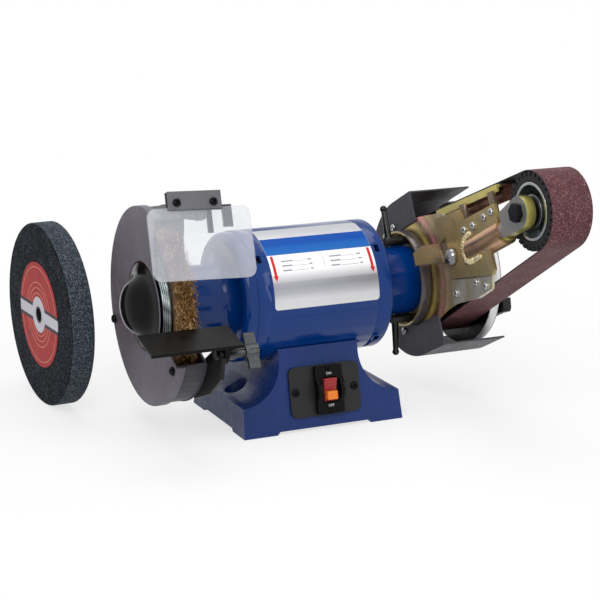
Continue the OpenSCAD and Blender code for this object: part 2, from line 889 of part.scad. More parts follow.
module guard_housing() {
    color([0.30, 0.29, 0.31]) difference() {
        on_shaft() union() {
            side_plate(guard_back_x, left_end_x) difference() {
                circle(drum_r + 1);
                circle(shaft_hole_r);
                mouth_round_hub_2d();
            }
            side_plate(cover_in_x, guard_back_x) difference() {
                union() {
                    difference() {
                        circle(drum_r);
                        circle(drum_r - sheet_t);
                    }
                    for (a = cover_screw_angles)
                        translate(polar_point(cover_screw_r, a)) circle(cover_boss_r);
                }
                mouth_2d();
            }
        }
        neck_screw_places() back_hole();
        cover_screw_places() xcyl(cover_in_x - over, cover_in_x + cover_screw_l, cover_screw_d / 2 + fit);
        shield_bolt_places() back_hole();
        rest_bolt_places() back_hole();
    }
}
// Dome: its radius and slope at a height above the cover
dome_steps = 14;
dome_power = 2.6;
flare_h = 3.5;
function dome_at(h) = nose_r * sqrt(1 - pow(h / dome_h, dome_power)) + (dome_r - nose_r) * exp(-h / flare_h);
function dome_slope(h) = (dome_at(h + 0.01) - dome_at(h)) / 0.01;
module dome_2d() {
    heights = [for (i = [0:dome_steps - 1]) dome_h * (1 - pow(1 - i / dome_steps, 2))];
    outer = [for (h = heights) [dome_at(h), cover_out_x - h]];
    inner = [for (h = heights) let (m = dome_slope(h), t = sheet_t / sqrt(1 + m * m))
        [dome_at(h) - t, cover_out_x - h - t * m]];
    tips = [[0, cover_out_x - dome_h], [0, cover_out_x - dome_h + sheet_t]];
    polygon(concat(outer, tips, [for (i = [1:dome_steps]) inner[dome_steps - i]]));
}
module guard_cover() {
    cover_r = drum_r + slip + sheet_t;
    color([0.33, 0.32, 0.34]) difference() {
        on_shaft() union() {
            side_plate(cover_out_x, cover_in_x) difference() {
                circle(cover_r);
                circle(dome_r - sheet_t);
                mouth_round_hub_2d();
            }
            side_plate(cover_out_x, cover_out_x + cover_lip_w) difference() {
                circle(cover_r);
                circle(cover_r - sheet_t);
                mouth_2d();
            }
            spin_x() dome_2d();
        }
        cover_screw_places() xcyl(cover_out_x - over, cover_in_x + over, cover_screw_d / 2 + fit);
    }
}
module guard_screws() {
    color([0.1, 0.1, 0.1]) {
        cover_screw_places()
            pan_screw(cover_out_x, cover_in_x + cover_screw_l - over, cover_out_x - cover_head_h,
                cover_screw_d / 2, cover_head_r);
        neck_screw_places()
            pan_screw(guard_back_x, left_end_x + neck_screw_l, guard_back_x - neck_head_h,
                neck_screw_d / 2, neck_head_r);
        shield_bolt_places()
            pan_screw(guard_back_x, left_end_x + shield_metal_t + 2, guard_back_x - neck_head_h,
                neck_screw_d / 2, neck_head_r);
        rest_bolt_places()
            pan_screw(left_end_x + rest_bracket_t + 2 * slip, guard_back_x - 2,
                left_end_x + rest_bracket_t + 2 * slip + cover_head_h, neck_screw_d / 2, neck_head_r + 1);
        ring_screw_places()
            pan_screw(ring_face_x - ring_screw_head, right_end_x - neck_screw_l + over, ring_face_x - slip,
                neck_screw_d / 2, neck_head_r);
    }
}

// Wire wheel, its flanges and nut
backing_t = 2;
backing_gap = 0.15;
wire_tip_w = 0.35;
wire_wave = 2.5;
face_plate_t = 1.2;
rib_count = 4;
rib_pitch = 6;
rib_h = 0.9;
// Hub with two face plates, one ribbed
module wire_hub() {
    bore_r = arbor_d / 2 + fit;
    color("silver") on_shaft() spin_x() {
        box_2d(bore_r, wire_hub_r, wheel_left_x, wheel_right_x);
        box_2d(bore_r, face_plate_r, wheel_left_x, wheel_left_x + face_plate_t);
        box_2d(bore_r, face_plate_r, wheel_right_x - face_plate_t, wheel_right_x);
        for (i = [1:rib_count])
            translate([face_plate_r - rib_pitch * (i - 0.5), wheel_left_x]) circle(rib_h);
    }
}
// Each cell of the ring's grid grows a strand
module wire_bristles() {
    r_in = wire_hub_r + backing_gap;
    r_root = r_in + backing_t;
    edge = face_plate_t + slip;
    x_first = wheel_left_x + edge;
    x_step = (wheel_w - 2 * edge) / wire_rows;
    columns = wire_columns;
    rows = wire_rows;
    a_step = 360 / columns;
    function ring_point(r, i, x) = [x, -r * cos(i * a_step), r * sin(i * a_step)];
    function tip_r(i, j) = wheel_r - wire_wave * (0.5 + 0.5 * sin(137 * i + 101 * j));
    inner = [for (i = [0:columns - 1], j = [0, rows]) ring_point(r_in, i, x_first + j * x_step)];
    root = [for (i = [0:columns - 1], j = [0:rows]) ring_point(r_root, i, x_first + j * x_step)];
    tips = [for (i = [0:columns - 1], j = [0:rows - 1], c = [[0, 0], [1, 0], [1, 1], [0, 1]])
        ring_point(tip_r(i, j), i + 0.5 + (c[0] - 0.5) * wire_tip_w * r_root / wheel_r,
            x_first + (j + 0.5 + (c[1] - 0.5) * wire_tip_w) * x_step)];
    root_0 = 2 * columns;
    tip_0 = root_0 + columns * (rows + 1);
    function inner_id(i, j) = 2 * (i % columns) + (j > 0 ? 1 : 0);
    function root_id(i, j) = root_0 + (i % columns) * (rows + 1) + j;
    function tip_id(i, j, c) = tip_0 + 4 * (i * rows + j) + c;
    function quad(a, b, c, d) = [[a, b, c], [a, c, d]];
    strand_faces = [for (i = [0:columns - 1], j = [0:rows - 1])
        let (b = [root_id(i, j), root_id(i + 1, j), root_id(i + 1, j + 1), root_id(i, j + 1)],
             t = [for (c = [0:3]) tip_id(i, j, c)])
        each concat(quad(t[0], t[1], t[2], t[3]),
            [for (c = [0:3]) each quad(b[c], b[(c + 1) % 4], t[(c + 1) % 4], t[c])])];
    ring_faces = [for (i = [0:columns - 1])
        each concat(quad(inner_id(i, 0), inner_id(i, 1), inner_id(i + 1, 1), inner_id(i + 1, 0)),
            quad(inner_id(i, 0), inner_id(i + 1, 0), root_id(i + 1, 0), root_id(i, 0)),
            quad(inner_id(i + 1, rows), inner_id(i, rows), root_id(i, rows), root_id(i + 1, rows)))];
    color("goldenrod") on_shaft()
        polyhedron(points = concat(inner, root, tips), faces = concat(strand_faces, ring_faces));
}
module wheel_flanges() {
    boss_r = 20;
    color("darkgray") on_shaft() {
        xtube(wheel_right_x, left_shoulder_x, inner_flange_r, arbor_d / 2 + fit);
        difference() {
            union() {
                xcyl(wheel_left_x - outer_flange_t, wheel_left_x, outer_flange_r);
                xcyl(nut_x, wheel_left_x - over / 2, boss_r);
            }
            xcyl(nut_x - over, wheel_left_x + over, arbor_d / 2 + fit);
        }
    }
}
module arbor_nut() {
    color("gray") on_shaft() difference() {
        xhex(nut_x - arbor_nut_l, nut_x, arbor_nut_af);
        xcyl(nut_x - arbor_nut_l - over, nut_x + over, arbor_d / 2 + fit);
    }
}

// Eye shield on a tilting arm
shield_ear_w = 4;
shield_ear_r = 10;
shield_screw_pitch = 42;
shield_screw_d = 5;
shield_screw_z = 5;
bar_below = 2.5;
bar_shift = -4.5;
shield_roll = 2.3;
tongue_places = [[12.6, 6, 28], [33.5, 11, 22]];
shield_nut_h = 5;
bolt_margin = 9;
module shield_pivot() {
    on_shield() translate([-shield_x, shield_pivot_back, 0]) children();
}
// The pane hangs lower at the right end
module on_pane() {
    on_shield() rotate([0, shield_roll, 0]) children();
}
module shield_screw_places() {
    on_pane() for (s = [-1, 1])
        translate([bar_shift + s * shield_screw_pitch / 2, 0, shield_screw_z]) children();
}
module shield_screw_holes() {
    shield_screw_places() rotate([90, 0, 0])
        cylinder(d = shield_screw_d + 2 * fit, h = 2 * clamp_bar_h, center = true);
}
// Plate on the guard's back with a pivot eye
module shield_bracket() {
    pivot_dy = shield_pivot_back * cos(shield_lean) - shield_y;
    pivot_dz = shield_z - shield_pivot_back * sin(shield_lean) - shaft_h;
    bracket_right_x = left_end_x + shield_metal_t;
    front = guard_bolt_ys[0] - bolt_margin;
    back = guard_bolt_ys[1] + bolt_margin;
    color([0.16, 0.16, 0.17]) difference() {
        on_shaft() side_plate(left_end_x, bracket_right_x) {
            polygon([[front, guard_bolt_z - bolt_margin], [back, guard_bolt_z - bolt_margin],
                [back, guard_bolt_z + bolt_margin], [pivot_dy + 4, pivot_dz + shield_ear_r - 1],
                [pivot_dy - 4, pivot_dz - shield_ear_r + 1], [front, guard_bolt_z + bolt_margin]]);
            translate([pivot_dy, pivot_dz]) circle(shield_ear_r);
        }
        shield_bolt_places() xcyl(left_end_x - over, bracket_right_x + over, neck_screw_d / 2 + fit);
        shield_pivot() xcyl(left_end_x - over, bracket_right_x + over, shield_pivot_d / 2 + fit);
    }
}
module shield_arm() {
    ear_x = left_end_x + shield_metal_t + slip - shield_x;
    half = shield_t / 2;
    color([0.20, 0.20, 0.21]) difference() {
        union() {
            on_pane() {
                translate([bar_shift - clamp_bar_l / 2, half, -bar_below])
                    cube([clamp_bar_l, shield_metal_t, clamp_bar_h]);
                for (t = tongue_places) {
                    translate([t[0] - t[1] / 2, half, -t[2]]) cube([t[1], shield_metal_t, t[2] + bar_below]);
                    translate([0, half, -bar_below]) cube([t[0] + t[1] / 2, shield_metal_t, 2 * bar_below]);
                }
            }
            on_shield() side_plate(ear_x, ear_x + shield_ear_w) {
                translate([half + over, -shield_ear_r])
                    square([shield_pivot_back - half - over, 2 * shield_ear_r]);
                translate([shield_pivot_back, 0]) circle(shield_ear_r);
            }
        }
        shield_pivot() xcyl(left_end_x - over, left_end_x + 3 * shield_ear_w, shield_pivot_d / 2 + fit);
        shield_screw_holes();
    }
}
module clamp_bar() {
    color([0.24, 0.24, 0.25]) difference() {
        on_pane() translate([bar_shift - clamp_bar_l / 2, -shield_t / 2 - shield_metal_t, -bar_below])
            cube([clamp_bar_l, shield_metal_t, clamp_bar_h]);
        shield_screw_holes();
    }
}
module eye_shield() {
    color([0.85, 0.88, 0.92, 0.4]) on_pane()
        translate([0, 0, -shield_l / 2]) front_plate(-shield_t / 2, shield_t / 2)
            rounded_2d(shield_w, shield_l, shield_r);
}
module shield_screws() {
    reach = shield_t / 2 + shield_metal_t;
    head_r = 4.5;
    ear_right_x = left_end_x + shield_metal_t + slip + shield_ear_w;
    color([0.08, 0.08, 0.08]) {
        shield_screw_places() rotate([90, 0, 0]) {
            translate([0, 0, -reach - over]) cylinder(d = shield_screw_d, h = 2 * reach + over);
            translate([0, 0, reach]) cylinder(r = head_r, h = 3);
        }
        shield_pivot() {
            xcyl(left_end_x - slip, ear_right_x, shield_pivot_d / 2);
            xcyl(left_end_x - slip - 3, left_end_x - slip, shield_pivot_d / 2 + 3);
            xhex(ear_right_x, ear_right_x + shield_nut_h, 1.6 * shield_pivot_d);
        }
    }
}

// Tool rest on a sliding bracket
rest_eye_r = 9;
rest_leg_w = 5.4;
rest_sleeve_l = 21;
wing_hub_r = 8;
wing_l = 15;
wing_t = 5;
wing_angle = 60;
bracket_half = 13;
bracket_drop = 26;
rest_bracket_x = left_end_x + slip;
rest_leg_x = rest_bracket_x + rest_bracket_t + slip;
module rest_pivot() {
    translate([0, -rest_pivot_y, rest_pivot_z]) children();
}
module rest_bracket() {
    slot_l = rest_bolt_pitch + rest_travel_in + rest_travel_out;
    slot_mid = rest_slot_reach + rest_bolt_pitch / 2 + (rest_travel_out - rest_travel_in) / 2;
    slot_start = slot_mid - slot_l / 2;
    bracket_end = slot_mid + slot_l / 2 + bracket_half;
    color([0.10, 0.10, 0.10]) difference() {
        on_rest_slot(0) side_plate(rest_bracket_x, rest_bracket_x + rest_bracket_t) difference() {
            union() {
                circle(rest_eye_r);
                polygon([[0, rest_eye_r], [-rest_eye_r, -rest_eye_r], [rest_eye_r, -bracket_drop],
                    [slot_start, -bracket_drop], [bracket_end, -bracket_half], [bracket_end, bracket_half],
                    [slot_start, bracket_half]]);
            }
            translate([slot_mid, 0]) slot_2d(slot_l, neck_screw_d + 2 * slip);
        }
        rest_pivot() xcyl(left_end_x - over, rest_leg_x + over, rest_bolt_d / 2 + fit);
    }
}
module on_rest() {
    translate([rest_x, -rest_back_y, rest_back_z]) rotate([rest_slope, 0, 0]) children();
}
module tool_rest() {
    gusset_l = 26;
    gusset_h = 4.3;
    color([0.13, 0.12, 0.12]) difference() {
        union() {
            on_rest() translate([-rest_w, -rest_depth, -rest_t]) cube([rest_w, rest_depth, rest_t]);
            intersection() {
                side_plate(rest_leg_x, rest_leg_x + rest_leg_w) {
                    translate([-rest_pivot_y, rest_pivot_z]) circle(rest_eye_r + 2);
                    translate([-rest_pivot_y - rest_eye_r - 2, rest_pivot_z])
                        square([2 * rest_eye_r + 4, rest_back_z - rest_pivot_z]);
                }
                on_rest() translate([-rest_w, -2 * rest_depth, -3 * rest_depth])
                    cube([rest_w, 3 * rest_depth, 3 * rest_depth - rest_t / 2]);
            }
            on_rest() translate([rest_leg_x + rest_leg_w - rest_x, -gusset_l - 8, -rest_t])
                side_plate(0, 3) polygon([[0, 0], [gusset_l, 0], [gusset_l / 2, -gusset_h]]);
        }
        rest_pivot() xcyl(left_end_x - over, rest_leg_x + rest_leg_w + over, rest_bolt_d / 2 + fit);
    }
}
module rest_wing_bolt() {
    leg_right_x = rest_leg_x + rest_leg_w;
    wing_x = leg_right_x + slip + rest_sleeve_l;
    color([0.35, 0.35, 0.36]) rest_pivot() {
        xcyl(rest_bracket_x - slip, wing_x, rest_bolt_d / 2);
        xcyl(rest_bracket_x - slip - 3, rest_bracket_x - slip, rest_bolt_d / 2 + 2);
        xcyl(leg_right_x + slip, wing_x, rest_bolt_d / 2 + 2);
        xcyl(wing_x, wing_x + wing_l, wing_hub_r);
        rotate([wing_angle, 0, 0]) translate([wing_x + 2, -wing_span / 2, -wing_t / 2])
            cube([wing_l - 2, wing_span, wing_t]);
    }
}

// Mounting ring on the right neck
ring_screw_r = 36;
ring_screw_angles = [20, 140, 260];
ring_screw_head = 3;
boss_r = 44;
rim_w = 8;
rim_t = 2.5;
slot_w = stud_d + 1;
// Ease of the slots' round ends
slot_end_ease = 0.1;
sector_steps = 6;
module ring_screw_places() {
    on_shaft() for (a = ring_screw_angles)
        at_polar(ring_screw_r, a) children();
}
module arc_slot_2d(a0, a1) {
    intersection() {
        difference() {
            circle(stud_circle_r + slot_w / 2);
            circle(stud_circle_r - slot_w / 2);
        }
        polygon(concat([[0, 0]],
            [for (i = [0:sector_steps]) polar_point(2 * stud_circle_r, a0 + (a1 - a0) * i / sector_steps)]));
    }
    for (a = [a0, a1])
        translate(polar_point(stud_circle_r, a)) circle(d = slot_w - slot_end_ease);
}
module mount_ring() {
    color([0.62, 0.58, 0.40]) difference() {
        on_shaft() union() {
            side_plate(right_end_x, ring_face_x) difference() {
                circle(ring_r);
                circle(shaft_hole_r);
                for (a = [upper_stud_angle, lower_stud_angle])
                    arc_slot_2d(a, a + swivel_travel);
            }
            xtube(ring_face_x - over, ring_face_x + collar_l, collar_r, collar_r - 6);
            xtube(right_end_x - rim_w, right_end_x + over, ring_r, ring_r - rim_t);
        }
        ring_screw_places() {
            xcyl(right_end_x - over, ring_face_x + over, neck_screw_d / 2 + fit);
            xcyl(ring_face_x - ring_screw_head, ring_face_x + over, neck_head_r + fit);
        }
    }
}

// Swivel plate that carries the sander
guard_screw_places = [[-35, 61.5], [-10, 66.5], [-36, -58]];
plate_screw_places = [[157, -47], [108, -47], [176, -56]];
bracket_screw_places = [[159, 14.5], [180, 13.5], [207, 15.5], [224, 16.5]];
lower_pad_t = 2;
// Outlines along the arm and across it
swivel_outline = [[0, 70], [60, 60], [108, 50], [148, 5], [190, -20], [190, -40], [180, -62],
    [150, -64], [134, -61.5], [95, -57], [72, -58.5], [54, -62], [0, -74]];
lower_pad_outline = [[101, -31], [106, -30.5], [194, -48.6], [188, -62], [150, -64], [134, -61.5],
    [97, -57]];
pivot_a = 122;
pivot_n = -6.5;
pivot_d = 10;
m5_d = 5;
m5_head_r = 4.5;
m5_head_h = 3;
module on_arm_at(p) {
    on_arm() translate(concat([0], arm_point(p[0], p[1]))) children();
}
module m5_holes(places) {
    for (p = places)
        on_arm_at(p) xcyl(right_end_x, belt_x, m5_d / 2 + fit);
}
module pivot_hole() {
    on_arm_at([pivot_a, pivot_n]) xcyl(right_face_x, belt_x, pivot_d / 2 + fit);
}
module stud_place(angle) {
    on_arm() at_polar(stud_circle_r, angle) children();
}
module swivel_plate() {
    color([0.60, 0.55, 0.36]) difference() {
        on_arm() union() {
            side_plate(swivel_x, swivel_back_x) difference() {
                union() {
                    circle(swivel_r);
                    polygon(arm_points(swivel_outline));
                }
                circle(collar_r + 2 * fit);
            }
            xtube(ring_face_x + slip, swivel_x + over, boss_r, collar_r + 2 * fit);
            side_plate(swivel_x - lower_pad_t, swivel_x + over) polygon(arm_points(lower_pad_outline));
        }
        on_arm() arm_rod(tube_start - 1, tube_end, tube_d / 2 + slip, tube_x, -tube_drop);
        for (a = [upper_stud_angle, lower_stud_angle])
            stud_place(a) xcyl(ring_face_x, swivel_back_x + over, stud_d / 2 + fit);
        m5_holes(guard_screw_places);
        m5_holes(plate_screw_places);
        pivot_hole();
    }
}
// Cranked clamp lever with its stud
module clamp_lever(stud_angle, handle_angle) {
    hub_x = right_end_x - slip;
    handle_r = 4.5;
    tip_r = 3.2;
    knob_r = 4.2;
    color([0.07, 0.07, 0.07]) stud_place(stud_angle) {
        xcyl(hub_x - lever_hub_l, hub_x, lever_hub_d / 2);
        xcyl(hub_x - over, swivel_back_x, stud_d / 2);
        translate([hub_x - lever_hub_l + handle_r + over, 0, 0]) rotate([90 - handle_angle, 0, 0]) {
            cylinder(r1 = handle_r, r2 = tip_r, h = lever_l);
            translate([0, 0, lever_l]) sphere(knob_r);
        }
    }
}
module upper_clamp_lever() {
    clamp_lever(upper_stud_angle, upper_handle_angle);
}
module lower_clamp_lever() {
    clamp_lever(lower_stud_angle, lower_handle_angle);
}

// Channel, pivot bolt and arm plate
channel_a = 100;
channel_t = 3.5;
channel_l = 40;
channel_chamfer = 14;
web_low = -8.5;
web_mid = 6.5;
web_top = 14.5;
foot_r = 10;
tube_inset = 10;
tube_x = arm_plate_x + tube_inset;
// Bent bracket with a foot under the dome bolt
module channel_bracket() {
    x1 = arm_plate_x;
    x0 = x1 - channel_l;
    color([0.66, 0.60, 0.42]) difference() {
        on_arm() {
            front_plate(-channel_a - channel_t, -channel_a) polygon([[x0, web_low], [x1, web_low],
                [x1, web_top], [x0 + channel_chamfer, web_top], [x0, web_mid]]);
            side_plate(x1 - channel_t, x1) {
                polygon(arm_points([[channel_a, web_low], [pivot_a, pivot_n - foot_r],
                    [pivot_a, pivot_n + foot_r], [channel_a, web_mid]]));
                translate(arm_point(pivot_a, pivot_n)) circle(foot_r);
            }
        }
        pivot_hole();
    }
}
module pivot_bolt() {
    dome_ball = 10.5;
    seat_x = arm_plate_x - channel_t;
    color("gainsboro") on_arm_at([pivot_a, pivot_n]) {
        xcyl(seat_x - over, swivel_back_x + 6, pivot_d / 2);
        intersection() {
            translate([seat_x + 3, 0, 0]) sphere(dome_ball);
            xcyl(seat_x - dome_ball, seat_x, dome_ball);
        }
        xhex(swivel_back_x, swivel_back_x + 6, 1.6 * pivot_d);
    }
}
arm_plate_outline = [[204, -20], [204, -44], [198, -49], [110, -29.5], [113, 20], [97, 16], [94, 46],
    [154, 40.5], [158, 26]];
module arm_plate() {
    color([0.64, 0.58, 0.38]) difference() {
        on_arm() side_plate(arm_plate_x, swivel_x)
            polygon(arm_points(concat([[tube_end, 24], [tube_end, 0]], arm_plate_outline)));
        on_arm() arm_rod(tube_start, tube_end + over, tube_d / 2 + fit, tube_x, -tube_drop);
        m5_holes(bracket_screw_places);
        pivot_hole();
    }
}
// Screws of the guards, plates and platen
module plate_screws() {
    lower_pad_x = swivel_x - lower_pad_t;
    color("gainsboro") {
        for (p = guard_screw_places)
            on_arm_at(p) pan_screw(ring_face_x, swivel_back_x, ring_face_x - m5_head_h, m5_d / 2, m5_head_r);
        for (p = plate_screw_places)
            on_arm_at(p) pan_screw(lower_pad_x, swivel_back_x, lower_pad_x - m5_head_h, m5_d / 2, m5_head_r);
        for (p = bracket_screw_places)
            on_arm_at(p) pan_screw(arm_plate_x, swivel_back_x, arm_plate_x - m5_head_h, m5_d / 2, m5_head_r);
    }
}

// Arm: tube, spring and axle bar
tube_floor = 33;
bar_t = 12;
bar_gap = 0.5;
bar_end_r = 18;
bar_rise = 11.5;
bar_fall = -17.5;
bar_start = tube_start + tube_floor + spring_l;
flat_start = tube_end + tension_travel + bar_gap;
bar_left_x = arm_plate_x;
bar_right_x = arm_plate_x + bar_t;
spring_coil_r = tube_bore / 2 - spring_wire / 2 - 0.6;
spring_sides = 6;
spring_rings = 8;
// Room for the contact wheel
module wheel_room(travel) {
    room = 2;
    on_arm_at([wheel_pitch, 0]) xcyl(bar_right_x + room / 2, tube_x + tube_d, contact_r + travel + room);
}
// The tube's lower end is cut on a slant
module arm_tube() {
    cut_x = tube_x - tube_d;
    color([0.62, 0.52, 0.36]) difference() {
        on_arm() difference() {
            arm_rod(tube_start, tube_end, tube_d / 2, tube_x, -tube_drop);
            arm_rod(tube_start + tube_floor, tube_end + over, tube_bore / 2, tube_x, -tube_drop);
            translate([0, 0, -tube_drop]) linear_extrude(height = 2 * tube_d, center = true)
                polygon([[arm_plate_x, over - tube_start], [arm_plate_x, -tube_start],
                    [cut_x, -tube_start - tube_d], [cut_x, over - tube_start]]);
        }
        wheel_room(tension_travel);
    }
}
// Coil between the tube's floor and the bar
module tension_spring() {
    count = spring_turns * spring_rings;
    wire_r = spring_wire / 2;
    first = tube_start + tube_floor + wire_r + slip;
    rise = (spring_l - spring_wire - 2 * slip) / count;
    function coil_point(k, s) =
        let (turn = 360 * k / spring_rings, side = 360 * s / spring_sides,
             r = spring_coil_r + wire_r * cos(side))
        [tube_x + r * cos(turn), -(first + k * rise) + wire_r * sin(side), r * sin(turn) - tube_drop];
    points = [for (k = [0:count], s = [0:spring_sides - 1]) coil_point(k, s)];
    function id(k, s) = k * spring_sides + s % spring_sides;
    walls = [for (k = [0:count - 1], s = [0:spring_sides - 1])
        each [[id(k, s), id(k + 1, s + 1), id(k, s + 1)], [id(k, s), id(k + 1, s), id(k + 1, s + 1)]]];
    first_end = [for (s = [1:spring_sides - 2]) [id(0, 0), id(0, s), id(0, s + 1)]];
    last_end = [for (s = [1:spring_sides - 2]) [id(count, 0), id(count, s + 1), id(count, s)]];
    color("gray") on_arm() polyhedron(points = points, faces = concat(walls, first_end, last_end));
}
module axle_bar() {
    color([0.68, 0.63, 0.45]) difference() {
        on_arm() union() {
            arm_rod(bar_start, flat_start + over, tube_bore / 2 - fit, tube_x, -tube_drop);
            side_plate(bar_left_x, bar_right_x) {
                polygon(arm_points([[flat_start, bar_rise], [wheel_pitch, bar_end_r],
                    [wheel_pitch, -bar_end_r], [flat_start, bar_fall]]));
                translate(arm_point(wheel_pitch, 0)) circle(bar_end_r);
            }
        }
        on_arm_at([wheel_pitch, 0]) xcyl(bar_left_x - over, bar_right_x + over, axle_d / 2 + fit);
        wheel_room(0);
    }
}

// Contact wheel on its axle
wheel_edge = 0.7;
contact_x = belt_x + wheel_edge;
contact_end_x = belt_end_x - wheel_edge;
axle_head_h = 6;
axle_nut_h = 8;
contact_rim_t = 3.5;
contact_web_t = 9;
sleeve_t = 2.5;
cut_w = 3;
cut_depth = 5;
bearing_recess = 2;
module axle_bolt() {
    spacer_r = axle_d / 2 + 3;
    nut_in_x = contact_end_x - bearing_recess + slip;
    color([0.10, 0.10, 0.11]) on_arm_at([wheel_pitch, 0]) {
        xhex(bar_left_x - axle_head_h, bar_left_x, 1.6 * axle_d);
        xcyl(bar_left_x - over, nut_in_x + axle_nut_h, axle_d / 2);
        xcyl(bar_right_x, contact_x + bearing_recess - slip, spacer_r);
        xhex(nut_in_x, nut_in_x + axle_nut_h, 1.6 * axle_d);
    }
}
module contact_hub() {
    seat_r = axle_bearing_od / 2 + fit;
    mid_x = (contact_x + contact_end_x) / 2;
    color("silver") on_arm_at([wheel_pitch, 0]) spin_x() {
        box_2d(seat_r, seat_r + sleeve_t, contact_x + bearing_recess, contact_end_x - bearing_recess);
        box_2d(seat_r, contact_hub_r, mid_x - contact_web_t / 2, mid_x + contact_web_t / 2);
        box_2d(contact_hub_r - contact_rim_t, contact_hub_r, contact_x, contact_end_x);
    }
}
module contact_tyre() {
    color([0.09, 0.09, 0.09]) on_arm_at([wheel_pitch, 0]) difference() {
        xtube(contact_x, contact_end_x, contact_r, contact_hub_r + fit);
        for (i = [0:tyre_cuts - 1])
            rotate([i * 360 / tyre_cuts, 0, 0])
                translate([contact_x - over, -cut_w / 2, contact_r - cut_depth])
                    cube([contact_end_x - contact_x + 2 * over, cut_w, cut_depth + over]);
    }
}
module contact_bearings() {
    color([0.18, 0.18, 0.19]) on_arm_at([wheel_pitch, 0])
        for (x = [contact_x + bearing_recess, contact_end_x - bearing_recess - axle_bearing_w])
            xtube(x, x + axle_bearing_w, axle_bearing_od / 2, axle_d / 2 + fit);
}

// Drive wheel and sanding disc
drive_rim_t = 8;
drive_web_t = 8;
drive_hub_r = 20;
module drive_wheel() {
    bore_r = arbor_d / 2 + fit;
    mid_x = (belt_x + belt_end_x) / 2;
    color([0.16, 0.16, 0.17]) on_shaft() spin_x() {
        box_2d(bore_r, drive_hub_r, right_shoulder_x, belt_end_x);
        box_2d(drive_hub_r - over, drive_r - over, mid_x - drive_web_t / 2, mid_x + drive_web_t / 2);
        box_2d(drive_r - drive_rim_t, drive_r, belt_x, belt_end_x);
    }
}
module disc_plate() {
    bore_r = arbor_d / 2 + fit;
    color("silver") on_shaft() difference() {
        union() {
            xcyl(disc_x, disc_face_x, disc_r);
            xcyl(belt_end_x, disc_x + over, drive_hub_r);
        }
        xcyl(belt_end_x - over, right_tip_x + slip, bore_r);
    }
}
module abrasive_disc() {
    color([0.30, 0.22, 0.20]) on_shaft()
        xcyl(disc_face_x, disc_face_x + abrasive_t, disc_r - 0.5);
}

// Belt, platen and its bracket
// Arc of the belt round a wheel
module belt_arc(r, sweep, turn) {
    rotate([turn, 0, 0]) rotate([0, 90, 0]) rotate_extrude(angle = sweep)
        translate([r + belt_gap, belt_x]) square([belt_t, belt_w]);
}
// Straight run, lapped into both arcs
run_lap = 0.5;
run_raise = 0.01;
module belt_run() {
    run_l = wheel_pitch * run_c + 2 * run_lap;
    rotate([run_tilt, 0, 0]) translate([belt_x, run_lap - run_l, belt_in + run_raise])
        cube([belt_w, run_l, belt_t]);
}
module sanding_belt() {
    color([0.45, 0.28, 0.29]) on_arm() {
        belt_arc(drive_r, 180 + 2 * run_tilt, -run_tilt);
        translate([0, -wheel_pitch, 0]) belt_arc(contact_r, 180 - 2 * run_tilt, run_tilt - 180);
        belt_run();
        mirror([0, 0, 1]) belt_run();
    }
}
platen_right_x = belt_end_x - 1;
flange_t = 2.5;
bracket_a0 = 150;
bracket_leg = 12;
bracket_strip = 15;
stiff_r = 8;
stiff_x = 172;
stiff_l = 110;
bracket_n0 = 9;
module platen() {
    platen_l = platen_end - platen_start;
    color([0.74, 0.66, 0.36]) on_top_run() {
        translate([swivel_back_x, -platen_end, platen_under])
            cube([platen_right_x - swivel_back_x, platen_l, platen_t]);
        translate([swivel_back_x, -platen_end, platen_under + platen_t - platen_flange])
            cube([flange_t, platen_l, platen_flange]);
        arm_rod(platen_end - stiff_l, platen_end - over, stiff_r, stiff_x, platen_under - stiff_r + over);
    }
}
module platen_pad() {
    inset = 2;
    color([0.12, 0.12, 0.13]) on_top_run()
        translate([swivel_back_x + inset, inset - platen_end, platen_under + platen_t])
            cube([platen_right_x - swivel_back_x - inset, platen_end - platen_start - 2 * inset, pad_t]);
}
module platen_bracket() {
    top_z = platen_under - 3;
    strip_n = bracket_n0 + bracket_strip;
    leg_0 = bracket_a0 + bracket_leg;
    leg_1 = platen_end - bracket_leg;
    color([0.56, 0.50, 0.32]) difference() {
        on_arm() side_plate(swivel_x, swivel_back_x)
            polygon(arm_points([[bracket_a0, bracket_n0], [platen_end, bracket_n0],
                [platen_end, run_n(platen_end, top_z)], [leg_1, run_n(leg_1, top_z)], [leg_1, strip_n],
                [leg_0, strip_n], [leg_0, run_n(leg_0, top_z)], [bracket_a0, run_n(bracket_a0, top_z)]]));
        m5_holes(bracket_screw_places);
    }
}

// Guards of the sander
rear_drop = 46;
module guard_area_2d(front) {
    far = 1.4 * sander_guard_r;
    intersection() {
        circle(sander_guard_r);
        polygon([[0, sander_guard_in], [0, far], [sander_guard_rear, far], [sander_guard_rear, rear_drop]]);
    }
    translate([-front, sander_guard_in]) square([front, sander_guard_r - sander_guard_in]);
}
module sander_guard(front, flip) {
    color([0.30, 0.29, 0.31]) difference() {
        on_arm() mirror([0, 0, flip]) {
            side_plate(ring_face_x, swivel_x) guard_area_2d(front);
            side_plate(ring_face_x, guard_end_x) difference() {
                guard_area_2d(front);
                circle(sander_guard_r - sheet_t);
                translate([-2 * front, -sander_guard_r])
                    square([2 * front + over / 10, 2 * sander_guard_r - sheet_t]);
                translate([0, -sander_guard_r]) square([sander_guard_r, 1.5 * sander_guard_r]);
            }
        }
        m5_holes(guard_screw_places);
    }
}
module upper_guard() {
    sander_guard(upper_guard_front, 0);
}
module lower_guard() {
    sander_guard(lower_guard_front, 1);
}
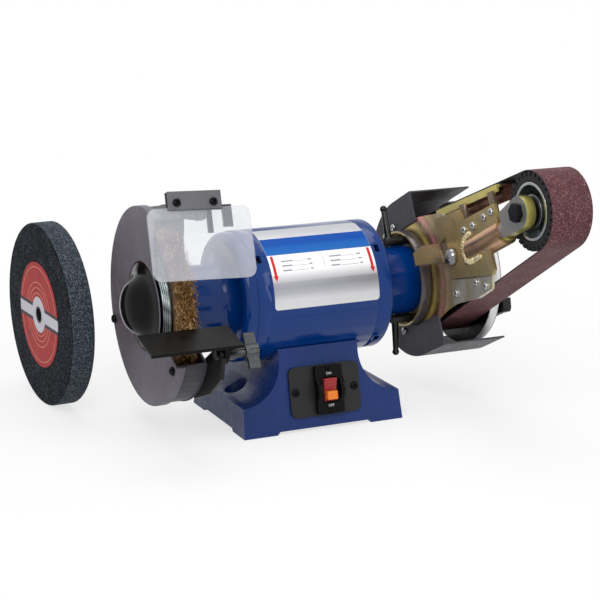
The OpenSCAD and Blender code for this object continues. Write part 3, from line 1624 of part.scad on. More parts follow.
// Bracket for the disc's table
table_outline = [[-50, -9], [-22, -9], [-8, 29], [50, 28], [68, 26], [72, 42], [58, 44], [-18, 44],
    [-36, 20]];
module table_bracket() {
    floor_n = sheet_t - sander_guard_r;
    x0 = disc_face_x + abrasive_t + 2.5;
    color([0.25, 0.24, 0.24]) on_arm() side_plate(x0, x0 + table_bracket_w)
        intersection() {
            translate([0, floor_n]) polygon(arm_points(table_outline));
            circle(-floor_n);
        }
}

// Spare stone, standing on its rim
stone_bore_r = 8;
stone_chamfer = 2;
module spare_stone() {
    color([0.14, 0.16, 0.19]) at_stone() spin_x() difference() {
        box_2d(stone_bore_r, stone_r, -stone_w / 2, stone_w / 2);
        for (s = [-1, 1])
            translate([stone_r, s * stone_w / 2]) rotate(45)
                square(stone_chamfer * sqrt(2), center = true);
    }
}
module stone_blotters() {
    color("firebrick") at_stone() {
        xtube(-stone_w / 2 - blotter_t, -stone_w / 2, blotter_r, stone_bore_r);
        xtube(stone_w / 2, stone_w / 2 + blotter_t, blotter_r, stone_bore_r);
    }
}

base();
bottom_plate();
cord_gland();
capacitor();
switch_plate();
switch_body();
switch_paddle();
safety_key();
switch_screws();
motor_shell();
left_end_bell();
right_end_bell();
stator_core();
windings();
rotor_core();
shaft();
motor_bearings();
through_bolts();
guard_housing();
guard_cover();
guard_screws();
wire_hub();
wire_bristles();
wheel_flanges();
arbor_nut();
shield_bracket();
shield_arm();
clamp_bar();
eye_shield();
shield_screws();
rest_bracket();
tool_rest();
rest_wing_bolt();
mount_ring();
swivel_plate();
upper_clamp_lever();
lower_clamp_lever();
channel_bracket();
pivot_bolt();
arm_plate();
plate_screws();
arm_tube();
tension_spring();
axle_bar();
axle_bolt();
contact_hub();
contact_tyre();
contact_bearings();
drive_wheel();
disc_plate();
abrasive_disc();
platen();
platen_pad();
platen_bracket();
sanding_belt();
upper_guard();
lower_guard();
table_bracket();
spare_stone();
stone_blotters();
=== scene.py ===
"""Looks of the bench grinder with belt sander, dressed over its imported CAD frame.

Geometry is written in millimetres in the CAD's own frame: X along the shaft, -Y to the front, Z up.
"""
import math
import random
from collections import namedtuple

import bpy
from mathutils import Matrix, Vector


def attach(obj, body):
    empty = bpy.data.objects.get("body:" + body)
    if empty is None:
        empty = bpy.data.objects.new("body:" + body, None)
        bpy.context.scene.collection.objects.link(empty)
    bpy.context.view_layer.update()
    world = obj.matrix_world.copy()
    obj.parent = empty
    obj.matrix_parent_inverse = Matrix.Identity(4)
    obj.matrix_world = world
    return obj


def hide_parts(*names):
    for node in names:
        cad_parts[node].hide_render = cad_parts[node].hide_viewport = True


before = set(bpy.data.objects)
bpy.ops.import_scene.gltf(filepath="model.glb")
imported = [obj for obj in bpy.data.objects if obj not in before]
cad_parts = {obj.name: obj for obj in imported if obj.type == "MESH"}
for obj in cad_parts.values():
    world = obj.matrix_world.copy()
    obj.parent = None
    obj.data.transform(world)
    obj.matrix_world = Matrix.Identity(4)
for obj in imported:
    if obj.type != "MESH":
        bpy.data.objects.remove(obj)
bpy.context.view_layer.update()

MM = 0.001

# Places shared with the CAD model
SHAFT_Z = 148.5
MOTOR_R = 76.8
SHELL_LEFT = -66.0
SHELL_RIGHT = 70.0
BASE_DEPTH = 159.0
BASE_LEAN = 12.5
ARM_ANGLE = 26.9
WHEEL_LEFT = -187.5
WHEEL_RIGHT = -161.5
WHEEL_R = 100.0
DRIVE_R = 66.7
CONTACT_R = 43.3
WHEEL_PITCH = 276.0
BELT_GAP = 0.3
BELT_T = 1.5
BELT_X = (162.3, 213.1)
ARM_PLATE_X = 147.0
STONE_CENTRE = (-255.0, 155.0, 110.5)
STONE_TURN = 3.3
PANE_PLACE = (-161.0, -95.0, 277.0)
PANE_LEAN = 22.0
PANE_ROLL = 2.3
SHAFT_CENTRE = (0.0, 0.0, SHAFT_Z)


def frame_at(place, degrees):
    """Frame at a place in millimetres, turned about X."""
    return Matrix.Translation(place) @ Matrix.Rotation(math.radians(degrees), 4, "X")


# Frames of the sander arm, the front of the base and the eye shield
ARM = frame_at(SHAFT_CENTRE, -ARM_ANGLE)
FACE = frame_at((0, -BASE_DEPTH / 2, 0), 90 - BASE_LEAN)
PANE = frame_at(PANE_PLACE, -PANE_LEAN) @ Matrix.Rotation(math.radians(PANE_ROLL), 4, "Y")


def arm_point(x, along, height):
    """Point from its X, its distance along the sander arm and its height above the arm's line."""
    return ARM @ Vector((x, -along, height))


def polar(x, radius, degrees):
    """Point round the shaft, with 0 degrees to the front and 90 up."""
    turn = math.radians(degrees)
    return Vector((x, -radius * math.cos(turn), SHAFT_Z + radius * math.sin(turn)))


def add_object(name, data):
    """Object made from its data and linked to the scene."""
    obj = bpy.data.objects.new(name, data)
    bpy.context.scene.collection.objects.link(obj)
    return obj


# Camera

FOCAL_PIXELS = 1734.2
FRAME_PIXELS = 600
SENSOR_MM = 36.0
CAMERA_PLACE = (-833.26, -1805.04, 633.16)
CAMERA_AZIMUTH = 24.89
CAMERA_ELEVATION = 14.04
CAMERA_ROLL = 0.14
CLIP_END_M = 50


def make_camera():
    """Camera at the photograph's viewing angle; azimuth turns from +Y towards +X, elevation looks down."""
    az, el, ro = (math.radians(v) for v in (CAMERA_AZIMUTH, CAMERA_ELEVATION, CAMERA_ROLL))
    look = Vector((math.sin(az) * math.cos(el), math.cos(az) * math.cos(el), -math.sin(el)))
    right = Vector((math.cos(az), -math.sin(az), 0))
    up = right.cross(look)
    right, up = right * math.cos(ro) + up * math.sin(ro), up * math.cos(ro) - right * math.sin(ro)
    data = bpy.data.cameras.new("camera")
    data.sensor_width = SENSOR_MM
    data.lens = FOCAL_PIXELS / FRAME_PIXELS * SENSOR_MM
    data.clip_end = CLIP_END_M
    camera = add_object("camera", data)
    rotation = Matrix((right, up, -look)).transposed().to_4x4()
    camera.matrix_world = Matrix.Translation(Vector(CAMERA_PLACE) * MM) @ rotation
    bpy.context.scene.camera = camera


make_camera()
bpy.context.scene.view_settings.view_transform = "Standard"


# Shader building

def rgb(red, green, blue):
    """Linear colour from 0 to 255 values as a screen shows them."""
    def linear(value):
        value /= 255
        return value / 12.92 if value <= 0.04045 else ((value + 0.055) / 1.055) ** 2.4
    return (linear(red), linear(green), linear(blue), 1.0)


def shade(color, factor):
    """The colour made darker or paler by a factor."""
    return tuple(min(1.0, channel * factor) for channel in color[:3]) + (1.0,)


class Shader:
    """One Principled material, with short ways to add procedural detail to it."""

    def __init__(self, name, color, roughness=0.5, metallic=0.0, **sockets):
        self.material = bpy.data.materials.new(name)
        self.material.use_nodes = True
        self.tree = self.material.node_tree
        self.bsdf = self.tree.nodes["Principled BSDF"]
        self.bsdf.inputs["Base Color"].default_value = color
        self.bsdf.inputs["Roughness"].default_value = roughness
        self.bsdf.inputs["Metallic"].default_value = metallic
        for socket, value in sockets.items():
            self.bsdf.inputs[socket.replace("_", " ")].default_value = value
        self.normal = None
        self.place = self.add("ShaderNodeTexCoord").outputs["Object"]

    def add(self, kind, **settings):
        node = self.tree.nodes.new(kind)
        for key, value in settings.items():
            setattr(node, key, value)
        return node

    def plug(self, socket, value):
        if isinstance(value, bpy.types.NodeSocket):
            self.tree.links.new(value, socket)
        elif value is not None:
            socket.default_value = value

    def noise(self, scale, detail=3.0, roughness=0.55, distortion=0.0, place=None):
        node = self.add("ShaderNodeTexNoise")
        self.plug(node.inputs["Vector"], place or self.place)
        node.inputs["Scale"].default_value = scale
        node.inputs["Detail"].default_value = detail
        node.inputs["Roughness"].default_value = roughness
        node.inputs["Distortion"].default_value = distortion
        return node.outputs["Fac"]

    def cells(self, scale, output="Distance", feature="F1"):
        node = self.add("ShaderNodeTexVoronoi", feature=feature)
        self.plug(node.inputs["Vector"], self.place)
        node.inputs["Scale"].default_value = scale
        return node.outputs[output]

    def stretch(self, x, y, z, place=None):
        """Coordinates stretched along the axes, for brushed and streaked finishes."""
        node = self.add("ShaderNodeMapping")
        self.plug(node.inputs["Vector"], place or self.place)
        node.inputs["Scale"].default_value = (x, y, z)
        return node.outputs["Vector"]

    def math(self, operation, a, b=None, c=None):
        node = self.add("ShaderNodeMath", operation=operation)
        for socket, value in zip(node.inputs, (a, b, c)):
            self.plug(socket, value)
        return node.outputs[0]

    def millimetres(self, metres):
        return self.math("MULTIPLY", metres, 1 / MM)

    def ramp(self, value, *stops):
        """Colour from stops of (position, colour or grey)."""
        node = self.add("ShaderNodeValToRGB")
        elements = node.color_ramp.elements
        while len(elements) < len(stops):
            elements.new(0.5)
        for element, (position, color) in zip(elements, stops):
            element.position = position
            element.color = color if isinstance(color, tuple) else (color, color, color, 1)
        self.plug(node.inputs["Fac"], value)
        return node.outputs["Color"]

    def mix(self, factor, a, b):
        """Blend of two colours, by the node's colour sockets: inputs 6 and 7, output 2."""
        node = self.add("ShaderNodeMix", data_type="RGBA")
        for socket, value in zip((node.inputs["Factor"], node.inputs[6], node.inputs[7]), (factor, a, b)):
            self.plug(socket, value)
        return node.outputs[2]

    def axes(self, centre=(0, 0, 0), turn=0.0):
        """Separate coordinates from a centre in millimetres, turned about the upright by degrees."""
        node = self.add("ShaderNodeMapping", vector_type="TEXTURE")
        self.plug(node.inputs["Vector"], self.place)
        node.inputs["Location"].default_value = tuple(c * MM for c in centre)
        node.inputs["Rotation"].default_value = (0, 0, math.radians(turn))
        split = self.add("ShaderNodeSeparateXYZ")
        self.plug(split.inputs[0], node.outputs["Vector"])
        return split.outputs

    def radius(self, centre, turn=0.0):
        """Distance from an axis along X, in millimetres."""
        _, y, z = self.axes(centre, turn)
        square = self.math("ADD", self.math("MULTIPLY", y, y), self.math("MULTIPLY", z, z))
        return self.millimetres(self.math("SQRT", square))

    def own_color(self):
        return self.bsdf.inputs["Base Color"].links[0].from_socket

    def paint(self, color):
        self.plug(self.bsdf.inputs["Base Color"], color)

    def gloss(self, value):
        self.plug(self.bsdf.inputs["Roughness"], value)

    def bump(self, height, strength, depth_mm):
        node = self.add("ShaderNodeBump")
        node.inputs["Strength"].default_value = strength
        node.inputs["Distance"].default_value = depth_mm * MM
        self.plug(node.inputs["Height"], height)
        if self.normal is not None:
            self.plug(node.inputs["Normal"], self.normal)
        self.normal = node.outputs["Normal"]
        self.plug(self.bsdf.inputs["Normal"], self.normal)


def enamel(name, color, roughness, peel_mm, peel_depth, coat=0.0, spread=0.10, specular=0.22):
    """Sprayed paint: faint cloudy colour, uneven gloss and orange peel of the given size."""
    s = Shader(name, color, roughness, Coat_Weight=coat, Coat_Roughness=0.06, Specular_IOR_Level=specular)
    s.paint(s.ramp(s.noise(28, 4), (0.3, shade(color, 1 - spread)), (0.7, shade(color, 1 + spread))))
    s.gloss(s.ramp(s.noise(70, 4), (0.3, roughness * 0.8), (0.75, min(1.0, roughness * 1.25))))
    s.bump(s.noise(1000 / peel_mm, 2), 0.35, peel_depth)
    return s


def powder_coat(name, color, roughness=0.5, grain_mm=0.7, depth=0.06, specular=0.22):
    """Textured powder coat on sheet metal, with rubbed, slightly paler patches."""
    s = enamel(name, color, roughness, grain_mm, depth, specular=specular)
    rub = s.ramp(s.noise(45, 6, 0.7, 0.4), (0.58, 0.0), (0.72, 1.0))
    fleck = s.ramp(s.noise(900, 1), (0.68, 0.0), (0.72, 1.0))
    worn = s.math("MULTIPLY", s.math("MAXIMUM", s.math("MULTIPLY", rub, 0.35), fleck), 0.35)
    s.paint(s.mix(worn, s.own_color(), shade(color, 1.7)))
    return s


def yellow_zinc(name, color, roughness=0.34, spread=0.16):
    """Yellow chromate on steel: wide straw and olive clouds with a breath of pink and green."""
    s = Shader(name, color, roughness, 0.55, Specular_IOR_Level=0.3)
    cloud = s.noise(15, 3, 0.5, 0.6)
    tint = s.ramp(cloud, (0.30, shade(color, 1 - spread)), (0.46, color), (0.58, shade(color, 1 + spread)),
                  (0.72, shade(color, 1 - 0.6 * spread)))
    film = s.ramp(s.noise(9, 2, 0.5, 1.2), (0.40, rgb(176, 150, 96)), (0.52, rgb(172, 132, 122)),
                  (0.64, rgb(140, 146, 118)))
    s.paint(s.mix(0.22, tint, film))
    s.gloss(s.ramp(s.noise(40, 4, 0.6), (0.3, roughness * 0.8), (0.72, roughness * 1.25)))
    s.bump(s.noise(700, 3), 0.12, 0.03)
    return s


def bands(s, value, *stops, waver=0.0, patchy=False):
    """Colour bands across a value in millimetres, over the shader's own colour.

    They waver by some millimetres, and patchy bands come and go.
    """
    low, high = stops[0][0], stops[-1][0]
    shift = s.math("MULTIPLY", s.math("SUBTRACT", s.noise(22, 2, 0.5, 0.8), 0.5), 2.0 * waver)
    place = s.math("DIVIDE", s.math("SUBTRACT", s.math("ADD", value, shift), low), high - low)
    color = s.ramp(place, *[((at - low) / (high - low), color) for at, color in stops])
    cover = s.ramp(s.noise(26, 4, 0.6, 1.0), (0.38, 0.3), (0.6, 0.95)) if patchy else 0.75
    s.paint(s.mix(cover, s.own_color(), color))
    return s


def arm_height(s):
    """Height above the sander arm's line, in millimetres."""
    _, y, z = s.axes(SHAFT_CENTRE)
    lean = math.radians(ARM_ANGLE)
    return s.millimetres(s.math("ADD", s.math("MULTIPLY", y, math.sin(lean)),
                                s.math("MULTIPLY", z, math.cos(lean))))


def swivel_zinc(name):
    """Polished swivel disc in bands by radius: olive near the hub, a dark edge, then rosy and grey-green
    towards the pad. The bands are partly the chromate's own tints and partly painted highlight and shade of
    the pressed dish; the near-black edge is painted shade.
    """
    s = yellow_zinc(name, rgb(156, 142, 100), 0.28, 0.3)
    return bands(s, s.radius(SHAFT_CENTRE), (40, rgb(150, 128, 74)), (58, rgb(112, 92, 52)),
                 (64, rgb(206, 184, 96)), (69, rgb(140, 110, 60)), (73, rgb(96, 76, 52)),
                 (74.5, rgb(34, 26, 22)), (76, rgb(150, 96, 84)), (82, rgb(222, 150, 146)),
                 (87, rgb(164, 110, 96)), (93, rgb(214, 176, 140)), (103, rgb(158, 140, 100)),
                 (112, rgb(190, 186, 170)), (190, rgb(194, 190, 176)), waver=4.0, patchy=True)


def ring_zinc(name):
    """Mounting ring, straw on its edges and blue-grey round the rim."""
    s = yellow_zinc(name, rgb(150, 134, 92), 0.26)
    return bands(s, s.radius(SHAFT_CENTRE), (30, rgb(150, 132, 86)), (54.5, rgb(128, 110, 70)),
                 (56.5, rgb(184, 166, 112)), (57.7, rgb(150, 138, 104)), (57.9, rgb(44, 54, 84)),
                 (58.4, rgb(44, 54, 84)))


def tube_zinc_painted_sheen(name):
    """Drawn tube, with painted highlight and shade in lengthwise bands by height: gold, rose and brown."""
    s = yellow_zinc(name, rgb(146, 120, 86), 0.28)
    return bands(s, arm_height(s), (-24, rgb(140, 112, 82)), (-19.5, rgb(196, 160, 126)),
                 (-16, rgb(120, 96, 68)), (-10, rgb(150, 118, 92)), (-6, rgb(78, 60, 46)),
                 (-3.5, rgb(188, 142, 122)), (0, rgb(214, 172, 132)), (2.5, rgb(160, 130, 84)),
                 (7.5, rgb(112, 94, 60)), waver=0.6)


PLATEN_ROD_LEFT = 160.0
# Left of this X the axle bar's face takes its painted grey reflection.
BAR_FACE_X = ARM_PLATE_X + 0.6


def right_of(s, x_mm):
    """1 to the right of an X in millimetres, 0 to its left."""
    x, _, _ = s.axes()
    return s.math("GREATER_THAN", x, x_mm * MM)


def platen_zinc(name):
    """Yellow-green platen with a brown stiffening rod under it."""
    s = yellow_zinc(name, rgb(192, 182, 98))
    brown = s.ramp(s.noise(24, 3), (0.35, rgb(96, 66, 54)), (0.55, rgb(150, 108, 94)),
                   (0.7, rgb(196, 152, 140)))
    s.paint(s.mix(right_of(s, PLATEN_ROD_LEFT), s.own_color(), brown))
    return s


def bar_zinc(name):
    """Axle bar with yellow zinc edges and a grey face: the grey on its left face is a painted reflection of
    the surround.
    """
    s = yellow_zinc(name, rgb(116, 118, 116))
    edge = s.ramp(s.noise(30, 3), (0.35, rgb(126, 120, 66)), (0.65, rgb(176, 168, 88)))
    s.paint(s.mix(right_of(s, BAR_FACE_X), s.own_color(), edge))
    return s


def bare_metal(name, color, roughness, turned_about=None, groove_mm=0.5, metallic=1.0, **sockets):
    """Plain metal, brushed, or turned about an axis along X where one is given."""
    s = Shader(name, color, roughness, metallic, **sockets)
    if turned_about:
        lines = s.noise(1.0 / groove_mm, 3, 0.7, 0.0, s.stretch(1, 0, 0, s.radius(turned_about)))
    else:
        lines = s.noise(900, 3, 0.6, 0.0, s.stretch(0.08, 1, 1))
    s.paint(s.ramp(lines, (0.3, shade(color, 0.78)), (0.7, shade(color, 1.15))))
    s.gloss(s.ramp(s.noise(120, 4), (0.3, roughness * 0.75), (0.7, roughness * 1.4)))
    s.bump(lines, 0.2, 0.05)
    return s


def plastic(name, color, roughness, grain_mm=0.4, depth=0.02, specular=0.28):
    """Moulded plastic with a fine spark-eroded grain."""
    s = Shader(name, color, roughness, Specular_IOR_Level=specular)
    s.paint(s.ramp(s.noise(60, 4), (0.3, shade(color, 0.9)), (0.7, shade(color, 1.1))))
    s.gloss(s.ramp(s.noise(200, 3), (0.3, roughness * 0.85), (0.7, min(1.0, roughness * 1.2))))
    s.bump(s.cells(1000 / grain_mm), 0.3, depth)
    return s


def rubber(name, color):
    """Dull rubber or cloth with pale dust."""
    s = Shader(name, color, 0.7, Specular_IOR_Level=0.3)
    dust = s.ramp(s.noise(90, 6, 0.7), (0.45, 0.0), (0.75, 0.6))
    s.paint(s.mix(dust, color, shade(color, 2.2)))
    s.bump(s.noise(1400, 3), 0.4, 0.06)
    return s


def grit(name, color, pale, dark, grain_mm, depth, specular=0.2):
    """Abrasive grains of several tones, standing proud of their bond."""
    s = Shader(name, color, 0.75, Specular_IOR_Level=specular)
    grain = s.cells(1000 / grain_mm, "Color")
    tone = s.math("ADD", s.math("MULTIPLY", grain, 0.75), s.math("MULTIPLY", s.noise(40, 3), 0.25))
    s.paint(s.ramp(tone, (0.22, dark), (0.48, color), (0.66, color), (0.84, pale)))
    s.gloss(s.ramp(grain, (0.2, 0.45), (0.8, 0.95)))
    s.bump(s.cells(1000 / grain_mm), 0.8, depth)
    s.bump(s.noise(300, 4), 0.3, depth)
    return s


def cast_blue(name):
    """Painted iron casting with a coarse, pebbled skin."""
    s = enamel(name, rgb(18, 44, 100), 0.36, 1.6, 0.08, coat=0.06)
    s.bump(s.noise(300, 4, 0.6), 0.9, 0.7)
    s.bump(s.cells(230, "Distance", "SMOOTH_F1"), 0.3, 0.3)
    return s


COVER_DOME_R = 51.8


def guard_cover_paint(name):
    """Dark grey powder coat, with the pressed dome over the nut in gloss black."""
    s = powder_coat(name, rgb(106, 102, 112), 0.46, specular=0.14)
    inside = s.math("LESS_THAN", s.radius(SHAFT_CENTRE), COVER_DOME_R)
    dull = s.bsdf.inputs["Roughness"].links[0].from_socket
    s.paint(s.mix(inside, s.own_color(), rgb(5, 5, 6)))
    s.gloss(s.mix(inside, dull, (0.14, 0.14, 0.14, 1)))
    return s


BLOTTER_RINGS = (58.0, 39.4, 32.7, 26.3)
BLOTTER_RING_W = 0.92
BLOTTER_BORDER_H = 21.8
BLOTTER_BAND_H = 13.4
BLOTTER_HUB_R = 21.8
BLOTTER_BUSH_R = 10.3


def blotter_print(name):
    """Red label disc with pale rings, a white hub and a white band between grey borders."""
    red, pale, white = rgb(172, 54, 56), rgb(224, 160, 130), rgb(206, 204, 214)
    grey, bush = rgb(66, 58, 64), rgb(72, 74, 60)
    s = Shader(name, red, 0.62, Specular_IOR_Level=0.2)
    r = s.radius(STONE_CENTRE, STONE_TURN)
    _, _, z = s.axes(STONE_CENTRE)
    level = s.millimetres(s.math("ABSOLUTE", z))
    color = s.ramp(s.noise(90, 5), (0.3, shade(red, 0.82)), (0.7, shade(red, 1.12)))
    for ring in BLOTTER_RINGS:
        on_ring = s.math("COMPARE", r, ring, BLOTTER_RING_W / 2)
        color = s.mix(s.math("MULTIPLY", on_ring, 0.85), color, pale)
    for value, limit, tone in ((level, BLOTTER_BORDER_H / 2, grey), (level, BLOTTER_BAND_H / 2, white),
                               (r, BLOTTER_HUB_R, white), (r, BLOTTER_BUSH_R, bush)):
        color = s.mix(s.math("LESS_THAN", value, limit), color, tone)
    s.paint(s.mix(s.ramp(s.noise(700, 4), (0.45, 0.0), (0.8, 0.25)), color, grey))
    s.bump(s.noise(1200, 3), 0.3, 0.05)
    return s


DISC_BACK_R = 86.5


def disc_metal(name):
    """Turned aluminium disc whose back is anodised black and whose rim is bright: a near-white, hardly
    metallic colour that paints in the highlight of the bright metal.
    """
    s = bare_metal(name, rgb(238, 238, 240), 0.34, SHAFT_CENTRE, 0.6, 0.1, Specular_IOR_Level=0.15)
    back = s.math("LESS_THAN", s.radius(SHAFT_CENTRE), DISC_BACK_R)
    s.paint(s.mix(back, s.own_color(), rgb(16, 15, 16)))
    return s


def clear_sheet(name):
    """Scuffed clear plastic: slightly milky, with hairline scratches; its pale tint is partly a painted
    reflection of the white surround.
    """
    s = Shader(name, rgb(208, 210, 218), 0.14, Alpha=0.32, Coat_Weight=0.1, Coat_Roughness=0.05)
    scratch = s.noise(500, 4, 0.6, 0.0, s.stretch(0.2, 1, 1))
    s.paint(s.ramp(s.noise(26, 5, 0.6, 0.8), (0.3, rgb(196, 199, 210)), (0.7, rgb(222, 223, 229))))
    s.gloss(s.ramp(scratch, (0.4, 0.08), (0.75, 0.3)))
    s.bump(scratch, 0.1, 0.02)
    return s


def foil(name, color):
    """Printed metal foil with a soft sheen."""
    s = Shader(name, color, 0.34, 0.55)
    s.paint(s.ramp(s.noise(14, 3), (0.3, shade(color, 0.86)), (0.7, shade(color, 1.1))))
    s.gloss(s.ramp(s.noise(60, 3), (0.3, 0.28), (0.7, 0.38)))
    s.bump(s.noise(120, 2), 0.1, 0.03)
    return s


def ink(name, color, roughness=0.34, specular=0.2):
    """Print on the foil: flat ink with a faint mottle."""
    s = Shader(name, color, roughness, Specular_IOR_Level=specular)
    s.paint(s.ramp(s.noise(160, 3), (0.3, shade(color, 0.95)), (0.7, shade(color, 1.04))))
    s.gloss(s.ramp(s.noise(60, 3), (0.3, roughness * 0.9), (0.7, roughness * 1.15)))
    s.bump(s.noise(120, 2), 0.08, 0.02)
    return s


def sheen(s, *stops, waver=0.0):
    """Soft light and dark bands by height above the shaft, as a curved sheet mirrors its surround."""
    _, _, z = s.axes(SHAFT_CENTRE)
    return bands(s, s.millimetres(z), *stops, waver=waver)


STONE_EDGE_R = 109.4


def stone_grain(name):
    """Vitrified stone: fine blue-black grain on the sides, paler round the rim."""
    s = grit(name, rgb(18, 22, 29), rgb(92, 100, 112), rgb(4, 5, 8), 1.3, 0.3, 0.04)
    edge = s.math("GREATER_THAN", s.radius(STONE_CENTRE, STONE_TURN), STONE_EDGE_R)
    pale = s.ramp(s.cells(1000, "Color"), (0.2, rgb(34, 39, 46)), (0.55, rgb(54, 61, 69)),
                  (0.85, rgb(98, 105, 113)))
    s.paint(s.mix(edge, s.own_color(), pale))
    return s


def wire_brass(name, color):
    """Brass-coated wire, one tone of several, with a fine change along each wire."""
    s = Shader(name, color, 0.4, 0.4, Specular_IOR_Level=0.3)
    s.paint(s.ramp(s.cells(500, "Color"), (0.1, shade(color, 0.6)), (0.5, color),
                   (0.9, shade(color, 1.35))))
    s.gloss(s.ramp(s.noise(800, 2), (0.3, 0.3), (0.7, 0.55)))
    s.bump(s.noise(2400, 2), 0.4, 0.05)
    return s


def hub_metal(name):
    """Contact wheel hub: a bright rim, a grey web and a dark middle."""
    axle = tuple(arm_point(0, WHEEL_PITCH, 0))
    s = bare_metal(name, rgb(96, 98, 98), 0.3, axle, 0.6)
    return bands(s, s.radius(axle), (12, rgb(24, 25, 25)), (15, rgb(64, 66, 66)), (16.5, rgb(150, 152, 152)),
                 (19, rgb(128, 134, 134)), (28.5, rgb(150, 156, 156)), (29.6, rgb(176, 178, 178)),
                 (32, rgb(200, 202, 202)))


def ribbed_steel(name):
    """Pressed hub plates: turned steel with dark and bright reflections up their height."""
    s = bare_metal(name, rgb(150, 158, 158), 0.26, SHAFT_CENTRE, 0.8)
    return sheen(s, (-60, rgb(74, 78, 78)), (-6, rgb(22, 25, 25)), (4, rgb(140, 148, 148)),
                 (11, rgb(58, 64, 64)), (20, rgb(200, 208, 208)), (30, rgb(100, 112, 112)),
                 (38, rgb(170, 180, 180)), (44, rgb(26, 32, 32)), (90, rgb(70, 74, 74)), waver=1.0)


def label_foil(name):
    """Foil of the motor label, with painted reflection bands: dark round the middle of its curve."""
    return sheen(foil(name, rgb(204, 206, 210)), (-3, rgb(214, 214, 214)), (9, rgb(206, 206, 209)),
                 (16, rgb(160, 160, 168)), (23, rgb(126, 126, 136)), (29, rgb(140, 140, 148)),
                 (60, rgb(190, 190, 194)), (78, rgb(176, 176, 182)))


def label_blue(name):
    """Blue band of the label, paler towards its lower edge as a painted reflection."""
    return sheen(ink(name, rgb(6, 78, 168), specular=0.08), (56, rgb(52, 112, 180)), (63, rgb(26, 96, 174)),
                 (66, rgb(0, 70, 156)), (72, rgb(0, 70, 156)))


def label_white(name):
    """White panel of the label, shaded towards its lower edge."""
    return sheen(ink(name, rgb(240, 240, 242)), (28, rgb(138, 138, 146)), (34, rgb(196, 196, 200)),
                 (40, rgb(240, 240, 242)), (58, rgb(244, 244, 246)))


# Materials by the names that the pieces use

MATERIALS = {key: shader.material for key, shader in {
    "motor": enamel("motor_blue", rgb(0, 48, 114), 0.17, 3.0, 0.012, coat=0.12, spread=0.06, specular=0.24),
    "base": cast_blue("cast_blue"),
    "guard": powder_coat("guard_grey", rgb(72, 71, 78), 0.46, specular=0.14),
    "cover": guard_cover_paint("cover_grey"),
    "sander_guard": powder_coat("sander_guard_grey", rgb(71, 69, 75), 0.42, specular=0.08),
    "black_sheet": powder_coat("black_sheet", rgb(22, 22, 23), 0.4),
    "clamp_sheet": powder_coat("clamp_grey", rgb(94, 94, 99), 0.45),
    "rest": powder_coat("rest_black", rgb(9, 7, 6), 0.34, 0.5, 0.03, 0.12),
    "screw_black": enamel("black_oxide", rgb(9, 9, 10), 0.26, 0.8, 0.02, coat=0.02, specular=0.1),
    "wing": bare_metal("wing_grey", rgb(80, 81, 83), 0.45),
    "zinc": yellow_zinc("yellow_zinc", rgb(150, 132, 86), 0.3, 0.24),
    "zinc_swivel": swivel_zinc("swivel_zinc"),
    "zinc_ring": ring_zinc("ring_zinc"),
    "zinc_tube_painted_sheen": tube_zinc_painted_sheen("tube_zinc_painted_sheen"),
    # Yellow zinc darkened to grey-brown: painted shade for the platen bracket deep behind the platen; the
    # channel bracket shares it.
    "zinc_painted_shade": yellow_zinc("yellow_zinc_painted_shade", rgb(80, 76, 70), 0.3, 0.24),
    "zinc_bar": bar_zinc("bar_zinc"),
    "zinc_platen": platen_zinc("platen_zinc"),
    "bright": bare_metal("bright_zinc", rgb(164, 165, 164), 0.24),
    "pivot": bare_metal("pivot_zinc", rgb(124, 125, 127), 0.18),
    "steel": ribbed_steel("ribbed_steel"),
    "dark_steel": bare_metal("dark_steel", rgb(92, 92, 94), 0.4),
    "aluminium": bare_metal("aluminium", rgb(178, 180, 182), 0.3),
    "hub": hub_metal("hub_metal"),
    "copper": bare_metal("copper_wire", rgb(168, 104, 66), 0.35),
    "disc": disc_metal("disc_metal"),
    "brass": wire_brass("brass_wire", rgb(164, 123, 70)),
    "brass_dark": wire_brass("brass_wire_dark", rgb(98, 68, 37)),
    "brass_pale": wire_brass("brass_wire_pale", rgb(222, 190, 138)),
    "rubber": rubber("tyre_rubber", rgb(24, 24, 25)),
    "belt": grit("belt_grit", rgb(90, 53, 57), rgb(156, 114, 118), rgb(36, 19, 23), 1.0, 0.1),
    "belt_cloth": grit("belt_cloth", rgb(40, 36, 36), rgb(58, 52, 50), rgb(26, 24, 24), 0.5, 0.05),
    "disc_grit": grit("disc_grit", rgb(84, 62, 58), rgb(132, 104, 98), rgb(44, 32, 32), 0.6, 0.12),
    "stone": stone_grain("stone_grain"),
    "blotter": blotter_print("blotter_print"),
    "clear": clear_sheet("clear_sheet"),
    "switch_black": plastic("switch_black", rgb(26, 24, 24), 0.42),
    "bezel_black": plastic("bezel_black", rgb(9, 8, 8), 0.3, specular=0.1),
    "gloss_black": plastic("lever_black", rgb(16, 16, 17), 0.28),
    "red": plastic("paddle_red", rgb(150, 44, 48), 0.34),
    "orange": plastic("key_orange", rgb(222, 122, 44), 0.32),
    "graphite": rubber("graphite_cloth", rgb(36, 36, 38)),
    "foil": label_foil("label_foil"),
    "label_blue": label_blue("label_blue"),
    "label_white": label_white("label_white"),
    "label_red": ink("label_red", rgb(202, 40, 46)),
    "label_rule": ink("label_rule", rgb(150, 152, 158)),
    "mark": ink("switch_mark", rgb(206, 206, 206)),
    "weld": yellow_zinc("weld_straw", rgb(178, 166, 132), 0.2, 0.45),
}.items()}


# Finish of the CAD nodes: material and the width of the edge rounding in millimetres

